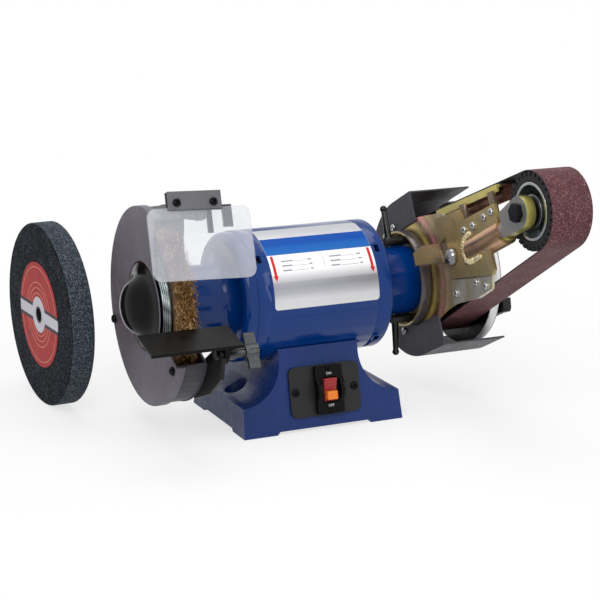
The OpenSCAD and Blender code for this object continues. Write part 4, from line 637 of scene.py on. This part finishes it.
FINISH = {
    "base": ("base", 1.6), "bottom_plate": ("black_sheet", 0.3), "cord_gland": ("switch_black", 0.5),
    "capacitor": ("aluminium", 0.8), "switch_plate": ("switch_black", 0.7),
    "switch_body": ("bezel_black", 0.6), "switch_paddle": ("red", 0.8), "safety_key": ("orange", 0.9),
    "switch_screws": ("screw_black", 0.6),
    "motor_shell": ("motor", 0.4), "left_end_bell": ("motor", 0.6), "right_end_bell": ("motor", 0.6),
    "stator_core": ("dark_steel", 0.3), "windings": ("copper", 1.5), "rotor_core": ("aluminium", 0.3),
    "shaft": ("bright", 0.4), "motor_bearings": ("bright", 0.4), "through_bolts": ("screw_black", 0.4),
    "guard_housing": ("guard", 0.5), "guard_cover": ("cover", 0.6), "guard_screws": ("screw_black", 0.6),
    "wire_hub": ("steel", 0.2), "wheel_flanges": ("steel", 0.4), "arbor_nut": ("bright", 0.5),
    "shield_bracket": ("black_sheet", 0.5), "shield_arm": ("black_sheet", 0.5),
    "clamp_bar": ("clamp_sheet", 0.0), "eye_shield": ("clear", 0.5), "shield_screws": ("screw_black", 0.6),
    "rest_bracket": ("black_sheet", 0.6), "tool_rest": ("rest", 0.6), "rest_wing_bolt": ("wing", 0.9),
    "mount_ring": ("zinc_ring", 0.5), "swivel_plate": ("zinc_swivel", 0.6),
    "upper_clamp_lever": ("gloss_black", 0.8), "lower_clamp_lever": ("gloss_black", 0.8),
    "channel_bracket": ("zinc_painted_shade", 0.6), "pivot_bolt": ("pivot", 0.4), "arm_plate": ("zinc", 0.6),
    "plate_screws": ("bright", 0.6), "arm_tube": ("zinc_tube_painted_sheen", 0.5), "tension_spring": ("dark_steel", 0.0),
    "axle_bar": ("zinc_bar", 0.7), "axle_bolt": ("screw_black", 0.7), "contact_hub": ("hub", 0.5),
    "contact_tyre": ("rubber", 0.5), "contact_bearings": ("dark_steel", 0.4),
    "drive_wheel": ("dark_steel", 0.5), "disc_plate": ("disc", 0.6), "abrasive_disc": ("disc_grit", 0.2),
    "platen": ("zinc_platen", 0.5), "platen_pad": ("graphite", 0.4), "platen_bracket": ("zinc_painted_shade", 0.5),
    "upper_guard": ("sander_guard", 0.4), "lower_guard": ("sander_guard", 0.4),
    "table_bracket": ("black_sheet", 0.6), "spare_stone": ("stone", 0.8),
    "stone_blotters": ("blotter", 0.0),
}
BEVEL_DEGREES = 32
BEVEL_SEGMENTS = 2
WELD_GAP = 0.01

for node_name, (look, rounding) in FINISH.items():
    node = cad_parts[node_name]
    for slot in node.material_slots:
        slot.material = MATERIALS[look]
    if not node.material_slots:
        node.data.materials.append(MATERIALS[look])
    weld = node.modifiers.new("weld", "WELD")
    weld.merge_threshold = WELD_GAP * MM
    if rounding:
        bevel = node.modifiers.new("edges", "BEVEL")
        bevel.width = rounding * MM
        bevel.segments = BEVEL_SEGMENTS
        bevel.limit_method = "ANGLE"
        bevel.angle_limit = math.radians(BEVEL_DEGREES)
        bevel.harden_normals = True


# Piece building

def piece(name, points, faces, body, materials, replaces=(), face_looks=None, sharp=40):
    """Mesh piece from points in millimetres, riding on a body."""
    mesh = bpy.data.meshes.new(name)
    mesh.from_pydata([Vector(p) * MM for p in points], [], faces)
    for look in materials:
        mesh.materials.append(MATERIALS[look])
    if face_looks:
        mesh.polygons.foreach_set("material_index", face_looks)
    mesh.validate()
    mesh.shade_smooth()
    mesh.set_sharp_from_angle(angle=math.radians(sharp))
    obj = add_object(name, mesh)
    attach(obj, body)
    if replaces:
        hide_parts(*replaces)


def loft(rings, loop=False):
    """Points and faces of rings of equal length, joined in order, with closed ends or as a loop."""
    count = len(rings[0])
    points = [p for ring in rings for p in ring]
    faces = []
    for k in range(len(rings) if loop else len(rings) - 1):
        n = (k + 1) % len(rings)
        for i in range(count):
            j = (i + 1) % count
            faces.append((k * count + i, k * count + j, n * count + j, n * count + i))
    if not loop:
        last = (len(rings) - 1) * count
        faces.append(tuple(range(count - 1, -1, -1)))
        faces.append(tuple(range(last, last + count)))
    return points, faces


def merge(parts):
    """One list of points and faces from several."""
    points, faces = [], []
    for part_points, part_faces in parts:
        start = len(points)
        points.extend(part_points)
        faces.extend(tuple(i + start for i in face) for face in part_faces)
    return points, faces


def between(start, end, count):
    """Steps from one tuple towards the next, without the end itself."""
    return [tuple(a + (b - a) * k / count for a, b in zip(start, end)) for k in range(count)]


# Wire wheel: a packed mass of crimped wire with loose tips

WIRE_SEED = 7
WIRE_LOOKS = ["brass", "brass_dark", "brass_pale"]
WIRE_TONES = (0, 0, 1, 2)
# The mass under the loose tips takes the dark brass: painted shade deep among the packed wires.
MASS_SHADE_TONE = 1
MASS_ROOT = 78.0
MASS_SHOULDER = 90.5
MASS_R = 92.0
MASS_INSET = 2.2
MASS_CREST_INSET = 3.4
MASS_STEPS = 96
STRANDS = 7000
STRAND_SIDES = 3
STRAND_STEPS = 5
STRAND_R = 0.36
STRAND_TAPER = 0.25
STRAND_ROOT = 85.0
STRAND_INSET = 1.7
TIP_TRIM = 0.4
TIP_SPREAD = 5.0
TIP_BIAS = 1.4
LEAN_SPREAD = 4.5
FLARE = 4.5
FLARE_FROM = 0.84
CRIMP = (0.4, 1.2)
CRIMP_ACROSS = 0.7
CRIMP_WAVE = 7
CRIMP_PHASES = 6.28


def wire_mass():
    """Ring that the wires stand in, with chamfered edges."""
    half = [(MASS_ROOT, MASS_INSET), (MASS_SHOULDER, MASS_INSET), (MASS_R, MASS_CREST_INSET)]
    profile = [(r, WHEEL_LEFT + inset) for r, inset in half]
    profile += [(r, WHEEL_RIGHT - inset) for r, inset in reversed(half)]
    return loft([[polar(x, r, 360 * k / MASS_STEPS) for k in range(MASS_STEPS)] for r, x in profile], True)


def wire_strand(draw):
    """One crimped wire, from inside the mass to its tip."""
    angle = draw.uniform(0, 360)
    across = draw.random()
    x = WHEEL_LEFT + STRAND_INSET + across * (WHEEL_RIGHT - WHEEL_LEFT - 2 * STRAND_INSET)
    flare = FLARE * max(0.0, across - FLARE_FROM) / (1 - FLARE_FROM) * draw.random()
    tip = WHEEL_R - TIP_TRIM - TIP_SPREAD * draw.random() ** TIP_BIAS
    lean = draw.gauss(0, LEAN_SPREAD)
    crimp = draw.uniform(*CRIMP)
    phase = draw.uniform(0, CRIMP_PHASES)
    rings = []
    for step in range(STRAND_STEPS + 1):
        part = step / STRAND_STEPS
        wave = phase + CRIMP_WAVE * part
        r = STRAND_ROOT + (tip - STRAND_ROOT) * part
        turn = angle + lean * part + math.degrees(crimp / r) * math.sin(wave)
        side = x + flare * part + crimp * CRIMP_ACROSS * math.cos(wave) * part
        size = STRAND_R * (1 - STRAND_TAPER * part)
        tangent = Vector((0, math.sin(math.radians(turn)), math.cos(math.radians(turn))))
        corners = [math.tau * k / STRAND_SIDES for k in range(STRAND_SIDES)]
        rings.append([polar(side + size * math.cos(corner), r, turn) + tangent * (size * math.sin(corner))
                      for corner in corners])
    return loft(rings)


def wire_brush():
    """Points, faces and tones of the mass and all its wires."""
    draw = random.Random(WIRE_SEED)
    strands = [wire_mass()] + [wire_strand(draw) for _ in range(STRANDS)]
    tones = [MASS_SHADE_TONE] + [draw.choice(WIRE_TONES) for _ in range(STRANDS)]
    looks = [tone for (_, strand_faces), tone in zip(strands, tones) for _ in strand_faces]
    return *merge(strands), looks


points, faces, looks = wire_brush()
piece("wire_brush", points, faces, "rotor", WIRE_LOOKS, ["wire_bristles"], looks, sharp=180)


# Sanding belt: gritty outside, dark cloth inside

BELT_LOOKS = ["belt", "belt_cloth"]
BELT_TRIM = 0.35
BELT_SHOULDER = 0.75
BELT_SIDE_LOOKS = [1, 0, 0, 0, 1, 1]
DRIVE_STEPS = 72
CONTACT_STEPS = 56


def belt_path(offset):
    """Points along and above the arm round the belt's loop, at a distance outside the wheels."""
    tilt = math.asin((DRIVE_R - CONTACT_R) / WHEEL_PITCH)
    loop = []
    for centre, radius, start, end, steps in (
            (0.0, DRIVE_R, math.pi / 2 - tilt, math.pi * 1.5 + tilt, DRIVE_STEPS),
            (WHEEL_PITCH, CONTACT_R, -math.pi / 2 + tilt, math.pi / 2 - tilt, CONTACT_STEPS)):
        for k in range(steps + 1):
            turn = start + (end - start) * k / steps
            loop.append((centre + (radius + offset) * math.cos(turn), (radius + offset) * math.sin(turn)))
    return loop


def belt():
    """Points, faces and looks of the loop, whose outer edges are trimmed at a slant."""
    left, right = BELT_X
    paths = [belt_path(BELT_GAP + BELT_T * part) for part in (0, BELT_SHOULDER, 1)]
    rings = [[arm_point(right, *inner), arm_point(right, *shoulder), arm_point(right - BELT_TRIM, *outer),
              arm_point(left + BELT_TRIM, *outer), arm_point(left, *shoulder), arm_point(left, *inner)]
             for inner, shoulder, outer in zip(*paths)]
    return *loft(rings, True), BELT_SIDE_LOOKS * len(rings)


points, faces, looks = belt()
piece("belt_loop", points, faces, "sander", BELT_LOOKS, ["sanding_belt"], looks)


# Printed label round the front of the motor: angles in degrees up from the front

LABEL_X = (-62.0, 70.0)
LABEL_ANGLES = (-1, 84)
LABEL_CORNER = 4
CORNER_TURNS = (0, 22, 45, 68, 90)
PRINT_MARGIN = 0.2
PRINT_X = (LABEL_X[0] + PRINT_MARGIN, LABEL_X[1] - PRINT_MARGIN)
PANEL_ANGLES = (22, 47.3)
BAND_ANGLES = (47.5, 67)
ARROWS = (("left", -57.0), ("right", 65.0))
ARROW_OUTLINE = ((23.5, 0.1), (28.0, 3.2), (28.1, 1.7), (46.5, 1.7))
RULE_COLUMNS = ((-47.0, -9.0, 40.2), (14.0, 54.0, 40.8))
RULE_ROWS = 3
RULE_PITCH = 4.3
RULE_GAP = 1
FIRST_WORD = 15
FIRST_WORD_STEP = 2
LAST_WORD = 5
WORD_H = 1.3
LINE_H = 0.35
DIVIDER_X = (5.7, 6.2)
DIVIDER_ANGLES = (32.5, 42.5)
SEAM_ANGLES = (-8.5, -8.0)
SHEET_SEAT = 0.02
FOIL_LIFT = 0.20
PRINT_LIFT = 0.26
RULE_LIFT = 0.30
ARROW_LIFT = 0.32
SEAM_LIFT = 0.25
WRAP_STEP = 1.5


def wrap(name, rows, lift, material):
    """Thin sheet round the motor from rows of (degrees, left X, right X), standing proud by lift."""
    fine = []
    for row, after in zip(rows, rows[1:]):
        fine += between(row, after, max(1, math.ceil(abs(after[0] - row[0]) / WRAP_STEP)))
    fine.append(rows[-1])
    rings = []
    for degrees, left, right in fine:
        rings.append([polar(x, MOTOR_R + rise, degrees)
                      for x, rise in ((left, SHEET_SEAT), (left, lift), (right, lift), (right, SHEET_SEAT))])
    points, faces = loft(rings)
    piece(name, points, faces, "stand", [material])


def strip(name, angles, ends, lift, material):
    """Plain rectangle of the label, from its two angles and its two ends."""
    wrap(name, [(angle, *ends) for angle in angles], lift, material)


def rounded_rows(angles, ends, corner):
    """Rows of a rectangle with rounded corners, its corner radius in millimetres."""
    (low, high), (left, right) = angles, ends
    arc = math.degrees(corner / MOTOR_R)
    turns = [math.radians(turn) for turn in CORNER_TURNS]
    curve = [(arc * (1 - math.sin(turn)), corner * (1 - math.cos(turn))) for turn in turns]
    rows = [(low + rise, left + inset, right - inset) for rise, inset in reversed(curve)]
    return rows + [(high - rise, left + inset, right - inset) for rise, inset in curve]


def label_rules(column, left, right, top):
    """Rows that stand for print: a word, a thin line and a word each."""
    for row in range(RULE_ROWS):
        low = top - RULE_PITCH * row
        first = left + FIRST_WORD - FIRST_WORD_STEP * row
        last = right - LAST_WORD
        parts = ((left, first, WORD_H), (first + RULE_GAP, last - RULE_GAP, LINE_H),
                 (last + row, right, WORD_H))
        for part, (start, end, height) in enumerate(parts):
            strip("label_rule_%d_%d_%d" % (column, row, part), (low, low + height), (start, end), RULE_LIFT,
                  "label_rule")


wrap("label_foil", rounded_rows(LABEL_ANGLES, LABEL_X, LABEL_CORNER), FOIL_LIFT, "foil")
strip("label_band", BAND_ANGLES, PRINT_X, PRINT_LIFT, "label_blue")
strip("label_panel", PANEL_ANGLES, PRINT_X, PRINT_LIFT, "label_white")
for side, middle in ARROWS:
    wrap("label_arrow_" + side, [(angle, middle - half, middle + half) for angle, half in ARROW_OUTLINE],
         ARROW_LIFT, "label_red")
for column, edges in enumerate(RULE_COLUMNS):
    label_rules(column, *edges)
strip("label_divider", DIVIDER_ANGLES, DIVIDER_X, RULE_LIFT, "label_rule")
strip("motor_seam", SEAM_ANGLES, (SHELL_LEFT, SHELL_RIGHT), SEAM_LIFT, "motor")


# Weld bead that joins the arm tube to its plate

BEAD_PATH = [(172, 7), (160, 7), (152, 3), (147, -4), (146, -11), (149, -18), (157, -22), (168, -23),
             (184, -22.5)]
BEAD_SEED = 3
BEAD_R = 3.0
BEAD_STEP = 0.8
BEAD_SIDES = 10
BEAD_RIPPLE = 0.22
BEAD_RIPPLE_STEP = 1.9
BEAD_ROUGHNESS = 0.14
BEAD_WANDER = 0.5
BEAD_FLATNESS = 0.75
BEAD_LIFT = 0.3
BEAD_END = 0.35
BEAD_END_STEP = 0.3


def weld_bead():
    """Rippled bead along its path, tapered at both ends."""
    draw = random.Random(BEAD_SEED)
    dense = []
    for start, end in zip(BEAD_PATH, BEAD_PATH[1:]):
        dense += between(start, end, max(2, round(math.dist(start, end) / BEAD_STEP)))
    dense.append(BEAD_PATH[-1])
    rings = []
    for k, (a, n) in enumerate(dense):
        before, after = dense[max(0, k - 1)], dense[min(len(dense) - 1, k + 1)]
        run = Vector((after[0] - before[0], after[1] - before[1])).normalized()
        ripple = 1 + BEAD_RIPPLE * math.sin(k * BEAD_RIPPLE_STEP)
        ripple += draw.uniform(-BEAD_ROUGHNESS, BEAD_ROUGHNESS)
        taper = min(1.0, BEAD_END + BEAD_END_STEP * min(k, len(dense) - 1 - k))
        size = BEAD_R * ripple * taper
        shift = draw.uniform(-BEAD_WANDER, BEAD_WANDER)
        ring = []
        for i in range(BEAD_SIDES):
            turn = math.tau * i / BEAD_SIDES
            across = size * math.cos(turn) + shift
            rise = size * BEAD_FLATNESS * math.sin(turn)
            ring.append(arm_point(ARM_PLATE_X - BEAD_LIFT - rise, a - run.y * across, n + run.x * across))
        rings.append(ring)
    return loft(rings)


points, faces = weld_bead()
piece("weld_bead", points, faces, "sander", ["weld"], sharp=60)


# Screws with cross recesses

Screw = namedtuple("Screw", "head_r head_h shank_r shank_l")
HEAD_SIDES = 32
HEX_SIDES = 6
PAN_DOME = [(1.0, 0.0), (1.0, 0.42), (0.95, 0.68), (0.84, 0.86), (0.68, 0.96), (0.56, 0.985), (0.5, 0.99),
            (0.36, 1.0), (0.24, 1.0), (0.14, 1.0), (0.05, 1.0)]
RECESS_SHARE = 0.45
CROSS_REACH = 0.6
CROSS_HALF_W = 0.14
LEDGE = 0.01
LEFT, RIGHT = (-1, 0, 0), (1, 0, 0)


def turned(place, out, profile, sides=HEAD_SIDES, recess=0.0):
    """Body turned about a line through place, from (radius, height) rings; recess cuts a cross."""
    out = Vector(out).normalized()
    across = out.orthogonal().normalized()
    along = out.cross(across)
    widest = max(radius for radius, _ in profile)
    rings = []
    for radius, height in profile:
        in_head = recess and height > 0 and radius < CROSS_REACH * widest
        ring = []
        for k in range(sides):
            turn = math.tau * (k + 0.5) / sides
            u, v = radius * math.cos(turn), radius * math.sin(turn)
            sunk = recess if in_head and min(abs(u), abs(v)) < CROSS_HALF_W * widest else 0
            ring.append(Vector(place) + across * u + along * v + out * (height - sunk))
        rings.append(ring)
    return loft(rings)


def pan_screws(size, out, seats):
    """Pan-head screws of one size on their seats, facing out."""
    profile = [(size.shank_r, -size.shank_l), (size.shank_r, -LEDGE)]
    profile += [(size.head_r * r, size.head_h * h) for r, h in PAN_DOME]
    return [turned(seat, out, profile, recess=RECESS_SHARE * size.head_h) for seat in seats]


def thirds(x, radius, start):
    """Three places round the shaft."""
    return [polar(x, radius, start + turn) for turn in (0, 120, 240)]


# Switch screws: the plate's two and the switch body's two, on the front of the base
SWITCH_X = 6.5
SWITCH_V = 46.0
PANEL_LEVEL = 3.0
BODY_LEVEL = 9.0
PANEL_SCREW_X = (-34.5, 40.5)
BODY_SCREW_REACH = 25.5
PANEL_SCREW = Screw(4.75, 2.2, 1.75, 8)
BODY_SCREW = Screw(3.25, 2.2, 1.75, 14)


def switch_screws():
    out = FACE.to_3x3() @ Vector((0, 0, 1))
    panel = [FACE @ Vector((x, SWITCH_V, PANEL_LEVEL)) for x in PANEL_SCREW_X]
    body = [FACE @ Vector((SWITCH_X, SWITCH_V + reach, BODY_LEVEL))
            for reach in (-BODY_SCREW_REACH, BODY_SCREW_REACH)]
    return pan_screws(PANEL_SCREW, out, panel) + pan_screws(BODY_SCREW, out, body)


# Guard screws: cover, housing, shield bracket, rest bracket and mounting ring
COVER_X = -192.0
COVER_SCREW_R = 107.0
COVER_SCREW_TURNS = (201, -29)
COVER_SCREW = Screw(5, 4, 2, 15)
HOUSING_X = -157.0
HOUSING_SCREW_R = 33.0
HOUSING_SCREW_START = 30
HOUSING_SCREW = Screw(4.5, 1.8, 3, 16)
BRACKET_SCREW_Y = (-20, -4)
BRACKET_SCREW_RISE = 94.0
BRACKET_SCREW = Screw(4.5, 1.8, 3, 7)
REST_BOLT_X = -150.4
REST_PIVOT = (-132.0, 121.0)
REST_SLOT_LEAN = 37
REST_BOLT_REACHES = (55, 75)
REST_BOLT = Screw(5.5, 4, 3, 8.6)
RING_X = 146.0
RING_SCREW_R = 36.0
RING_SCREW_START = 20
RING_SCREW = Screw(4.5, 2.7, 3, 14)


def rest_bolt_seat(reach):
    """Seat of a bracket bolt, at a distance up the slot from the rest's pivot."""
    lean = math.radians(REST_SLOT_LEAN)
    y, z = REST_PIVOT
    return (REST_BOLT_X, y + reach * math.cos(lean), z - reach * math.sin(lean))


def guard_screws():
    cover = [polar(COVER_X, COVER_SCREW_R, turn) for turn in COVER_SCREW_TURNS]
    bracket = [(HOUSING_X, y, SHAFT_Z + BRACKET_SCREW_RISE) for y in BRACKET_SCREW_Y]
    rest = [rest_bolt_seat(reach) for reach in REST_BOLT_REACHES]
    return (pan_screws(COVER_SCREW, LEFT, cover)
            + pan_screws(HOUSING_SCREW, LEFT, thirds(HOUSING_X, HOUSING_SCREW_R, HOUSING_SCREW_START))
            + pan_screws(BRACKET_SCREW, LEFT, bracket) + pan_screws(REST_BOLT, RIGHT, rest)
            + pan_screws(RING_SCREW, RIGHT, thirds(RING_X, RING_SCREW_R, RING_SCREW_START)))


# Shield screws: two through the clamp bar, and the pivot bolt with its nut
CLAMP_SCREW_X = (-25.5, 16.5)
CLAMP_FRONT = -4.5
CLAMP_SCREW_Z = 5.0
CLAMP_SCREW = Screw(4.5, 3, 2.5, 10)
SHIELD_PIVOT = (-70.893, 267.26)
PIVOT_HEAD_X = -155.3
PIVOT_NUT_X = -147.7
PIVOT_BOLT = [(7, -3), (7, 0), (4, LEDGE), (4, 7.6)]
PIVOT_NUT = [(7.4, 0), (7.4, 4.4), (6.6, 5)]


def shield_screws():
    out = PANE.to_3x3() @ Vector((0, -1, 0))
    seats = [PANE @ Vector((x, CLAMP_FRONT, CLAMP_SCREW_Z)) for x in CLAMP_SCREW_X]
    return pan_screws(CLAMP_SCREW, out, seats) + [
        turned((PIVOT_HEAD_X, *SHIELD_PIVOT), RIGHT, PIVOT_BOLT),
        turned((PIVOT_NUT_X, *SHIELD_PIVOT), RIGHT, PIVOT_NUT, HEX_SIDES)]


# Plate screws of the sander, by their places along and above the arm: guards and pad, then the arm plate
PAD_X = 149.0
PAD_SEATS = ((-35, 61.5), (-10, 66.5), (-36, -58), (157, -47), (108, -47), (176, -56))
PAD_SCREW = Screw(4.5, 3, 2.5, 6)
ARM_PLATE_SEATS = ((159, 14.5), (180, 13.5), (207, 15.5), (224, 16.5))
ARM_PLATE_SCREW = Screw(4.5, 3, 2.5, 8)


def plate_screws():
    return (pan_screws(PAD_SCREW, LEFT, [arm_point(PAD_X, *seat) for seat in PAD_SEATS])
            + pan_screws(ARM_PLATE_SCREW, LEFT, [arm_point(ARM_PLATE_X, *seat) for seat in ARM_PLATE_SEATS]))


for screw_node, screws, screw_body, look in (
        ("switch_screws", switch_screws(), "stand", "screw_black"),
        ("guard_screws", guard_screws(), "stand", "screw_black"),
        ("shield_screws", shield_screws(), "shield", "screw_black"),
        ("plate_screws", plate_screws(), "sander", "bright")):
    points, faces = merge(screws)
    piece("dressed_" + screw_node, points, faces, screw_body, [look], [screw_node], sharp=35)


# Switch marks

MARKS = (("ON", 64.6), ("OFF", 27.4))
MARK_SIZE = 4.2
MARK_DEPTH = 0.12
MARK_LEVEL = BODY_LEVEL + 0.1


def switch_mark(text, v):
    """Raised word on the switch body, at a height up the front of the base."""
    curve = bpy.data.curves.new("mark", "FONT")
    curve.body = text
    curve.size = MARK_SIZE * MM
    curve.extrude = MARK_DEPTH * MM
    curve.align_x = "CENTER"
    curve.align_y = "CENTER"
    letters = add_object("letters_" + text, curve)
    bpy.context.view_layer.update()
    mesh = bpy.data.meshes.new_from_object(letters.evaluated_get(bpy.context.evaluated_depsgraph_get()))
    bpy.data.objects.remove(letters)
    obj = add_object("mark_" + text.lower(), mesh)
    mesh.materials.clear()
    mesh.materials.append(MATERIALS["mark"])
    place = FACE @ Matrix.Translation((SWITCH_X, v, MARK_LEVEL))
    obj.matrix_world = Matrix.Translation(place.translation * MM) @ place.to_3x3().to_4x4()
    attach(obj, "stand")


for mark in MARKS:
    switch_mark(*mark)


# Studio, in metres: pale floor, soft lamps, white surround

FLOOR_REACH = 12.0
FLOOR_DROP = 0.0005
FLOOR_TONE = 0.86
FLOOR_FADE = (0.25, 0.75)
FLOOR_GLOW = (0.7, 1.0)
SURROUND_LIGHT = 0.42
SURROUND_SEEN = 1.0
LAMP_AIM = (0, 0, 0.15)
LAMPS = (("key", (-0.9, -1.5, 1.6), 1.2, 26), ("fill", (1.4, -1.1, 0.9), 1.4, 10),
         ("top", (0.1, 0.3, 1.9), 1.4, 14))


def background_rays(tree):
    """1 for rays that should see the white surround: camera, glossy and transmission."""
    path = tree.nodes.new("ShaderNodeLightPath")
    total = path.outputs["Is Camera Ray"]
    for name in ("Is Glossy Ray", "Is Transmission Ray"):
        either = tree.nodes.new("ShaderNodeMath")
        either.operation = "MAXIMUM"
        tree.links.new(total, either.inputs[0])
        tree.links.new(path.outputs[name], either.inputs[1])
        total = either.outputs[0]
    return total


def set_range(node, start, end):
    """Sets what a map-range node gives at the two ends of its range."""
    node.inputs["To Min"].default_value = start
    node.inputs["To Max"].default_value = end


def floor_white():
    """White card near the object that fades into a glow as bright as the surround."""
    material = bpy.data.materials.new("floor_white")
    material.use_nodes = True
    tree = material.node_tree
    tree.nodes.clear()
    new, link = tree.nodes.new, tree.links.new
    out = new("ShaderNodeOutputMaterial")
    mix = new("ShaderNodeMixShader")
    card = new("ShaderNodeBsdfDiffuse")
    card.inputs["Color"].default_value = (FLOOR_TONE, FLOOR_TONE, FLOOR_TONE, 1)
    glow = new("ShaderNodeEmission")
    glow.inputs["Strength"].default_value = SURROUND_SEEN
    away = new("ShaderNodeVectorMath")
    away.operation = "LENGTH"
    share = new("ShaderNodeMapRange")
    share.inputs["From Min"].default_value, share.inputs["From Max"].default_value = FLOOR_FADE
    set_range(share, *FLOOR_GLOW)
    part = new("ShaderNodeMath")
    part.operation = "MULTIPLY"
    link(new("ShaderNodeNewGeometry").outputs["Position"], away.inputs[0])
    link(away.outputs["Value"], share.inputs["Value"])
    link(background_rays(tree), part.inputs[0])
    link(share.outputs["Result"], part.inputs[1])
    link(part.outputs[0], mix.inputs["Fac"])
    link(card.outputs[0], mix.inputs[1])
    link(glow.outputs[0], mix.inputs[2])
    link(mix.outputs[0], out.inputs["Surface"])
    return material


def make_stage():
    mesh = bpy.data.meshes.new("floor")
    corners = [(x * FLOOR_REACH, y * FLOOR_REACH, 0) for x, y in ((-1, -1), (1, -1), (1, 1), (-1, 1))]
    mesh.from_pydata(corners, [], [(0, 1, 2, 3)])
    mesh.materials.append(floor_white())
    floor = add_object("floor", mesh)
    floor.location.z = -FLOOR_DROP


def make_world():
    """White world, dimmer as a light than it looks."""
    world = bpy.data.worlds.new("studio")
    world.use_nodes = True
    tree = world.node_tree
    sky = tree.nodes["Background"]
    sky.inputs["Color"].default_value = (1, 1, 1, 1)
    level = tree.nodes.new("ShaderNodeMapRange")
    set_range(level, SURROUND_LIGHT, SURROUND_SEEN)
    tree.links.new(background_rays(tree), level.inputs["Value"])
    tree.links.new(level.outputs["Result"], sky.inputs["Strength"])
    bpy.context.scene.world = world


def make_lamp(name, place, size, watts):
    data = bpy.data.lights.new(name, "AREA")
    data.shape = "DISK"
    data.size = size
    data.energy = watts
    lamp = add_object(name, data)
    lamp.location = place
    aim = Vector(LAMP_AIM) - Vector(place)
    lamp.rotation_euler = aim.to_track_quat("-Z", "Y").to_euler()


make_stage()
make_world()
for lamp in LAMPS:
    make_lamp(*lamp)
